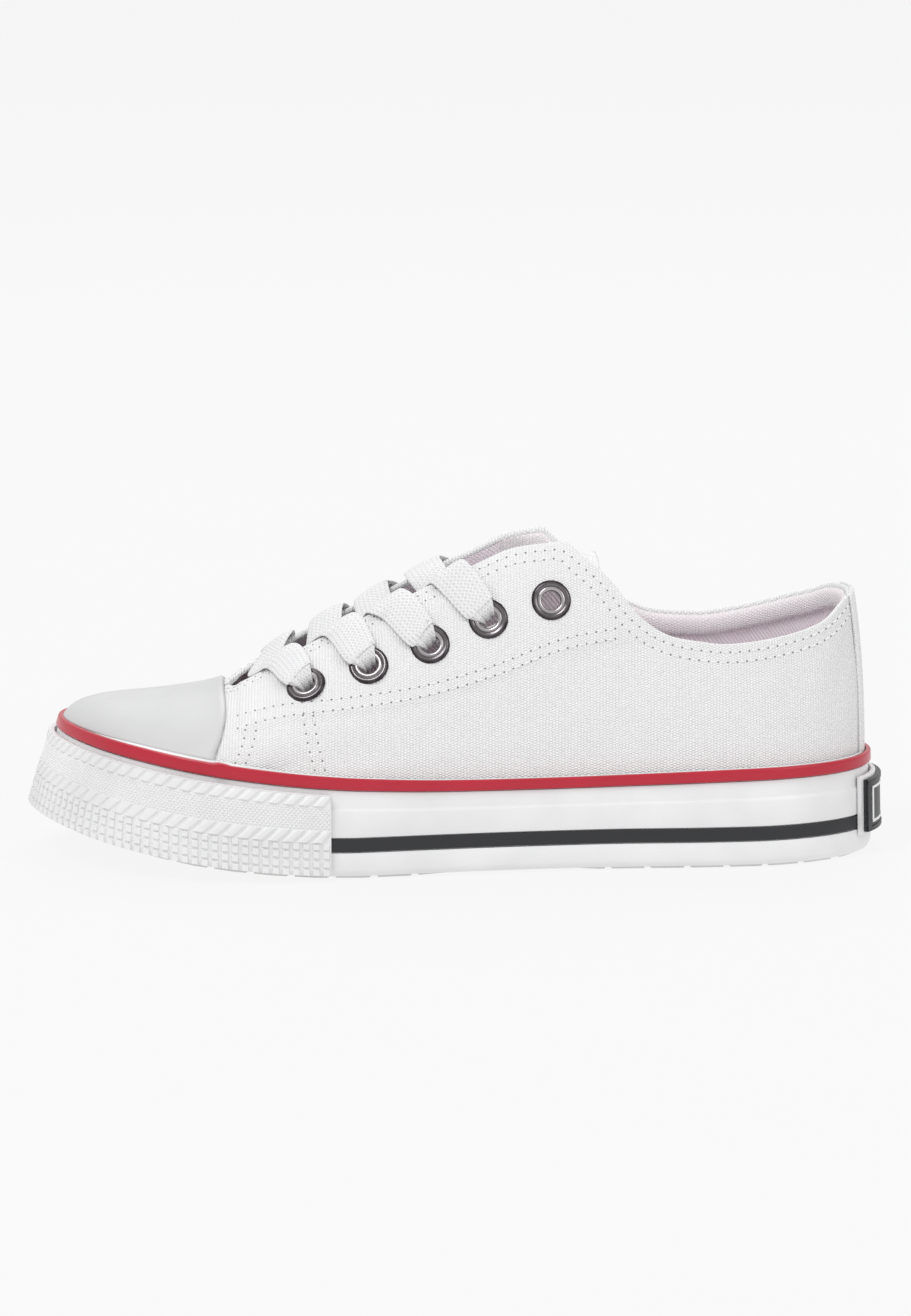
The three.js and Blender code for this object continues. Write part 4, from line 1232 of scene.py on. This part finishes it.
def makeBackstay():
    s = backstay

    def place(u, v):
        offset = (2 * u - 1)
        turns = np.linspace(0, 0.9, 1500)
        x, y = rimBase(turns)
        reach = np.interp(np.abs(offset) * s["half"] * 1.08, np.abs(y - shoe["sideShift"]), turns)
        turn = np.mod(np.sign(offset + 1e-9) * reach + 2 * math.pi, 2 * math.pi)
        turn = np.where(offset < 0, np.abs(reach), 2 * math.pi - np.abs(reach))
        foot = aroundAtHeight(turn, np.full(turn.shape, shoe["foxingHeight"] - 1.0), s["lift"])
        top = aroundStep(turn, topOf(turn), -0.2)
        around = foot + (top - foot) * v
        side = smoothstep(1 - np.abs(offset), 0, .12)
        grow = s["lift"] + s["thickness"] * (.2 + .8 * np.sqrt(side)) - 1.2 * smoothstep(v, .965, 1.0)
        p = formPoint(turn, around, grow)
        uv = np.stack([offset * s["half"], lineAlong(turn, around)], -1)
        return p, uv

    piece = gridPiece("backstayStrip", s["columns"], s["rows"], place)
    applyModifier(piece, "SOLIDIFY", thickness=0.7 * mm, offset=-1)
    return piece


finishPiece(makeBackstay(), finish["canvas"], ["backstay"])
print("backstay made")

# tongue
tongue = {"columns": 56, "rows": 150, "thickness": 1.6}


def tongueHeight(share, y):
    middle = shoe["instepHeight"] * (read(ridgeRows, 1, share) - read(tongueRows, 1, share))
    return middle - shoe["tongueArch"] * (y - centreAt(share)) ** 2


def makeTongue():
    s = tongue
    front, back = tongueRows[0][0], tongueRows[-1][0]

    def place(u, v):
        share = front + (back - front) * v
        half = width * read(tongueRows, 2, share)
        y = centreAt(share) + half * (2 * u - 1)
        wave = .25 * np.sin(v * 21 + 3 * u) * np.sin(u * 5 + 1) * smoothstep(v, .1, .3)
        z = tongueHeight(share, y) + wave
        p = np.stack([xAt(share), y, z], -1)
        return p, np.stack([y, xAt(share)], -1)

    piece = gridPiece("tongueCloth", s["columns"], s["rows"], place)
    applyModifier(piece, "SOLIDIFY", thickness=s["thickness"] * mm, offset=0)
    return piece


finishPiece(makeTongue(), finish["canvas"], ["tongue"])
print("tongue made")

# eyelets
eyelet = {
    "facets": 40,
    # radius and height over the seat, from the back of the barrel round to the back flange
    "profile": [(2.9, -2.6), (2.85, -1.0), (2.85, .1), (2.95, .55), (3.3, .86), (3.75, .92), (4.1, .72),
                (4.3, .5), (4.6, .62), (5.0, .72), (5.45, .6), (5.78, .3), (5.9, -.02), (5.8, -.12),
                (3.4, -.12), (3.4, -2.5), (4.5, -2.5), (4.5, -2.9), (3.2, -2.95)],
}


def makeEyelet(side, i):
    centre, across, up, normal = eyeletFrame(side, eyeletRows[i])
    loop = splinePoints([(r, h) for r, h in eyelet["profile"]] + [eyelet["profile"][0]], 2)

    def place(u, v):
        k = np.round(v * (len(loop) - 1)).astype(int)
        angle = u * 2 * math.pi
        r, h = loop[k, 0], loop[k, 1] - .05
        p = (centre + np.outer(r * np.cos(angle), across) + np.outer(r * np.sin(angle), up)
             + np.outer(h, normal))
        return p, np.stack([angle * 5, loop[k, 0]], -1)

    name = "lateral" if side < 0 else "medial"
    piece = gridPiece(f"eyelet_{name}_{i + 1}_ring", eyelet["facets"], len(loop) - 1, place, angle=50)
    return finishPiece(piece, finish["gunmetal"], [f"eyelet_{name}_{i + 1}"])


for side in (-1, 1):
    for i in range(len(eyeletRows)):
        makeEyelet(side, i)
print("eyelets made")

# laces
lace = {
    "width": 12, "thickness": 1.0, "columns": 26, "samples": 90,
    # lean toward the toe at the throat's two edges, rise over the tongue to the lateral and the medial side
    "rows": [(.03, .008, 2.2, 2.2), (.033, .022, 2.2, 1.2), (.049, .04, 2.4, 1.6), (.045, .047, 2.2, 8)],
}


def laidOn(heightAt, share, y, rise, wide):
    at = np.array([xAt(share), y, float(heightAt(share, y))])
    alongX = float(heightAt(shareOf(at[0] + .5), y)) - at[2]
    alongY = float(heightAt(share, y + .5)) - at[2]
    up = np.array([-alongX, -alongY, .5])
    up /= np.linalg.norm(up)
    return (*(at + up * (rise + lace["thickness"] / 2)), *up, wide, 0)


def throatEdge(share, side, outward):
    return float(centreAt(share) + side * (width * read(throatRows, 1, share) + outward))


def overEyestay(share, side, outward, rise, wide):
    return laidOn(lambda s, y: formHeight(s, y, shoe["eyestayStep"]), share, throatEdge(share, side, outward),
                  rise, wide)


def overTongue(share, y, rise, wide):
    return laidOn(lambda s, v: tongueHeight(s, v) + shoe["tongueThickness"] / 2, share, y, rise, wide)


def intoEyelet(side, row, fromEdge):
    # over the ring, down through the hole and a little way inside
    centre, across, up, normal = eyeletFrame(side, row)
    toThroat = fromEdge - centre
    toThroat -= normal * (toThroat @ normal)
    toThroat /= np.linalg.norm(toThroat)
    made = []
    for outward, height, wide, pleat, tilt in [(5.2, 1.75, 10.6, .15, .08), (3.4, 1.6, 8.9, .5, .3),
                                               (1.7, .8, 6.9, .9, .8), (.6, -1.0, 5.3, 1.0, 1.3),
                                               (.4, -3.2, 5.2, 1.0, 1.6), (1.4, -4.9, 6.0, .8, 2.1)]:
        at = centre + toThroat * outward + normal * height
        face = normal * math.cos(tilt) - toThroat * math.sin(tilt)
        made.append((*at, *face, wide, pleat))
    return made


def laceEnd(side, row, lean):
    share = row[0] + (shoe["medialAhead"] if side > 0 else 0)
    edge = overEyestay(share + lean, side, -.5, 1.0, 12)
    return [edge, overEyestay(share + lean * .68, side, 4.4, .9, 12),
            *intoEyelet(side, row, np.array(edge[:3]))]


def laceRibbon(name, knots):
    # flat woven band along knots of point, normal, width and pleating
    s = lace
    line = splinePoints(knots, 14)
    centre, up, wide, pleat = line[:, :3], line[:, 3:6], line[:, 6], np.clip(line[:, 7], 0, 1)
    along = np.gradient(centre, axis=0)
    along /= np.linalg.norm(along, axis=1)[:, None]
    across = np.cross(up, along)
    across /= np.linalg.norm(across, axis=1)[:, None]
    lift = np.cross(along, across)
    run = lineLength(centre)
    count = len(centre)
    ring = 2 * s["columns"]

    def place(u, v):
        i = np.clip(np.round(u * (count + 1)).astype(int) - 1, 0, count - 1)
        cap = (np.round(u * (count + 1)) < 1) | (np.round(u * (count + 1)) > count)
        angle = v * 2 * math.pi
        c = np.sign(np.cos(angle)) * np.abs(np.cos(angle)) ** .55
        l = np.sign(np.sin(angle)) * np.abs(np.sin(angle)) ** .45
        c, l = np.where(cap, 0, c), np.where(cap, 0, l)
        folds = pleat[i] * .42 * np.sin(c * math.pi * 2.6 + .6)
        cup = -.5 * (c ** 2) * (1 - pleat[i])
        x = c * wide[i] / 2
        z = l * s["thickness"] / 2 * (1 - .25 * np.abs(c) ** 6) + np.where(cap, 0, folds + cup)
        p = centre[i] + across[i] * x[:, None] + lift[i] * z[:, None]
        uv = np.stack([run[i], c * s["width"] / 2 + (l < 0) * 20], -1)
        return p, uv

    return gridPiece(name, count + 1, ring, place, angle=70)


def makeLaces():
    lean, medialLean, rise, _ = lace["rows"][0]
    row = eyeletRows[0]
    share = row[0] + lean + shoe["medialAhead"] / 2
    near, far = laceEnd(-1, row, lean), laceEnd(1, row, medialLean)
    middle = overTongue(share, float(centreAt(share)), rise + .4, 12)
    finishPiece(laceRibbon("laceBar1", far[::-1] + [middle] + near), finish["lace"], ["lace_bar_1"])
    for i in range(1, len(lace["rows"])):
        below, row = eyeletRows[i - 1], eyeletRows[i]
        lateralLean, medialLean, lateralRise, medialRise = lace["rows"][i]
        for side in (1, -1):
            start = below[0] + (row[0] - below[0]) * .3
            lean = lateralLean if side < 0 else medialLean
            edge = row[0] + lean + (shoe["medialAhead"] if side > 0 else 0)
            middle = (start + edge) / 2
            rise = lateralRise if side < 0 else medialRise
            knots = [overTongue(start - .0, throatEdge(start, -side, 5), .1, 9),
                     overTongue(start, throatEdge(start, -side, 0), .4, 10.5),
                     overTongue(start + (middle - start) * .5, throatEdge(start, -side, -6), rise * .6, 11.5),
                     overTongue(middle, float(centreAt(middle)), rise, 12),
                     *laceEnd(side, row, lean)]
            name = "Near" if side < 0 else "Far"
            nodes = [f"lace_cross_{i + 1}"] if side < 0 else []
            finishPiece(laceRibbon(f"laceCross{i + 1}{name}", knots), finish["lace"], nodes)


makeLaces()
print("laces made")

# insole and outsole
outsoleMaterial = finish["outsole"]
for name, key in [("outsole", "outsole"), ("insole", "insole")]:
    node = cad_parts[name]
    node.data.materials.clear()
    node.data.materials.append(finish[key])

# stitching
stitch = {"pitch": 2.9, "length": 2.1, "radius": 0.24, "hole": 0.31}


def snapped(points):
    # nearest points and normals on the canvas upper
    places, normals = [], []
    for p in points:
        found, at, normal, _ = upperPiece.closest_point_on_mesh(Vector(p * mm))
        places.append(np.array(at) / mm)
        normals.append(np.array(normal))
    return np.array(places), np.array(normals)


def stitchCopies(line, closed=False):
    # a sunken thread from hole to hole along a line on the upper
    dots = evenly(line, stitch["pitch"])
    at, normal = snapped(dots)
    middle = (at[1:] + at[:-1]) / 2
    along = at[1:] - at[:-1]
    reach = np.linalg.norm(along, axis=1)
    keep = (reach > 1.0) & (reach < 5)
    along = along / reach[:, None]
    up = normal[1:] + normal[:-1]
    up = up / np.linalg.norm(up, axis=1)[:, None]
    across = np.cross(up, along)
    threads = []
    for m, a, u, c, ok in zip(middle, along, up, across, keep):
        if ok:
            q = threadPoints
            arch = -.30 * np.abs(q[:, 0]) ** 3
            threads.append(m + np.outer(q[:, 0] * stitch["length"] / 2, a)
                           + np.outer(q[:, 1] * stitch["radius"], c)
                           + np.outer(q[:, 2] * stitch["radius"] + arch + .06, u))
    holes = []
    for p, u in zip(at, normal):
        side = np.cross(u, (1, 0, 0))
        side /= np.linalg.norm(side)
        other = np.cross(u, side)
        holes.append(p + np.outer(holePoints[:, 0] * stitch["hole"], side)
                     + np.outer(holePoints[:, 1] * stitch["hole"], other)
                     + np.outer(holePoints[:, 2] * .05 + .03, u))
    return threads, holes


threadPoints, threadFaces = template(bpy.ops.mesh.primitive_uv_sphere_add, segments=6, ring_count=5, radius=1,
                                     rotation=(0, math.pi / 2, 0))
threadPoints = threadPoints[:, [2, 1, 0]]
holePoints, holeFaces = template(bpy.ops.mesh.primitive_cylinder_add, vertices=6, radius=1, depth=1)


def edgeLine(distance):
    # line at one distance below the edge of collar and throat, all the way round
    turns = edgeTurns[edgeAround < 0.9995]
    order = np.concatenate([turns[turns < math.pi][::-1], turns[turns > math.pi][::-1]])
    top = topOf(order)
    edge = formPoint(order, top, 0)
    rise = edge - formPoint(order, top - .02, 0)
    normal = np.cross(formPoint(order + .01, top, 0) - formPoint(order - .01, top, 0), rise)
    normal /= np.linalg.norm(normal, axis=1)[:, None]
    run = lineLength(edge)
    steps = np.arange(0, run[-1], 1.5)
    edge, rise, normal = (np.stack([np.interp(steps, run, part[:, k]) for k in range(3)], 1)
                          for part in (edge, rise, normal))
    side = np.cross(normal, np.gradient(edge, axis=0))
    side /= np.linalg.norm(side, axis=1)[:, None]
    side *= -np.sign(np.sum(side * rise, axis=1))[:, None]
    moved = np.pad(edge + side * distance, ((3, 3), (0, 0)), mode="edge")
    kernel = np.ones(7) / 7
    return np.stack([np.convolve(moved[:, k], kernel, "valid") for k in range(3)], 1)


def sideLines(wanted):
    # lines of x and height in the side view, put on their side of the last, all at once
    lines = [splinePoints(knots, 10) for side, knots in wanted]
    sides = np.concatenate([np.full(len(line), side) for line, (side, knots) in zip(lines, wanted)])
    joined = np.concatenate(lines)
    share = shareOf(joined[:, 0])
    low, high = np.zeros(len(joined)), np.ones(len(joined))
    for _ in range(18):
        middle = (low + high) / 2
        p = formPoint(turnOnForm(sides, share, middle), middle, 0)
        under = p[:, 2] < joined[:, 1]
        low, high = np.where(under, middle, low), np.where(under, high, middle)
    placed = formPoint(turnOnForm(sides, share, low), low, .3)
    return np.split(placed, np.cumsum([len(line) for line in lines])[:-1])


def makeStitches():
    threads, holes = [], []
    lines = [edgeLine(2.9), edgeLine(5.9)]
    tall = shoe["instepHeight"]
    wanted = []
    for side in (-1, 1):
        for up in (1.2, 4.2):
            knots = [(xAt(s), h * tall + up) for s, h in eyestayRows[:-1]]
            wanted.append((side, knots + [(xAt(.315), .695 * tall + up)]))
        for back in (0, .012):
            wanted.append((side, [(xAt(.681 - back), 48.5), (xAt(.676 - back), 41), (xAt(.668 - back), 33)]))
            wanted.append((side, [(xAt(.748 - back), 44), (xAt(.752 - back), 40), (xAt(.764 - back), 33)]))
    for line in lines + sideLines(wanted):
        a, b = stitchCopies(line)
        threads += a
        holes += b
    finishPiece(repeated("stitchThreads", threadFaces, threads), finish["thread"])
    # dark discs with painted shade for the needle holes
    finishPiece(repeated("stitchHoles", holeFaces, holes), finish["pinholeShade"])


makeStitches()
print("stitches made")
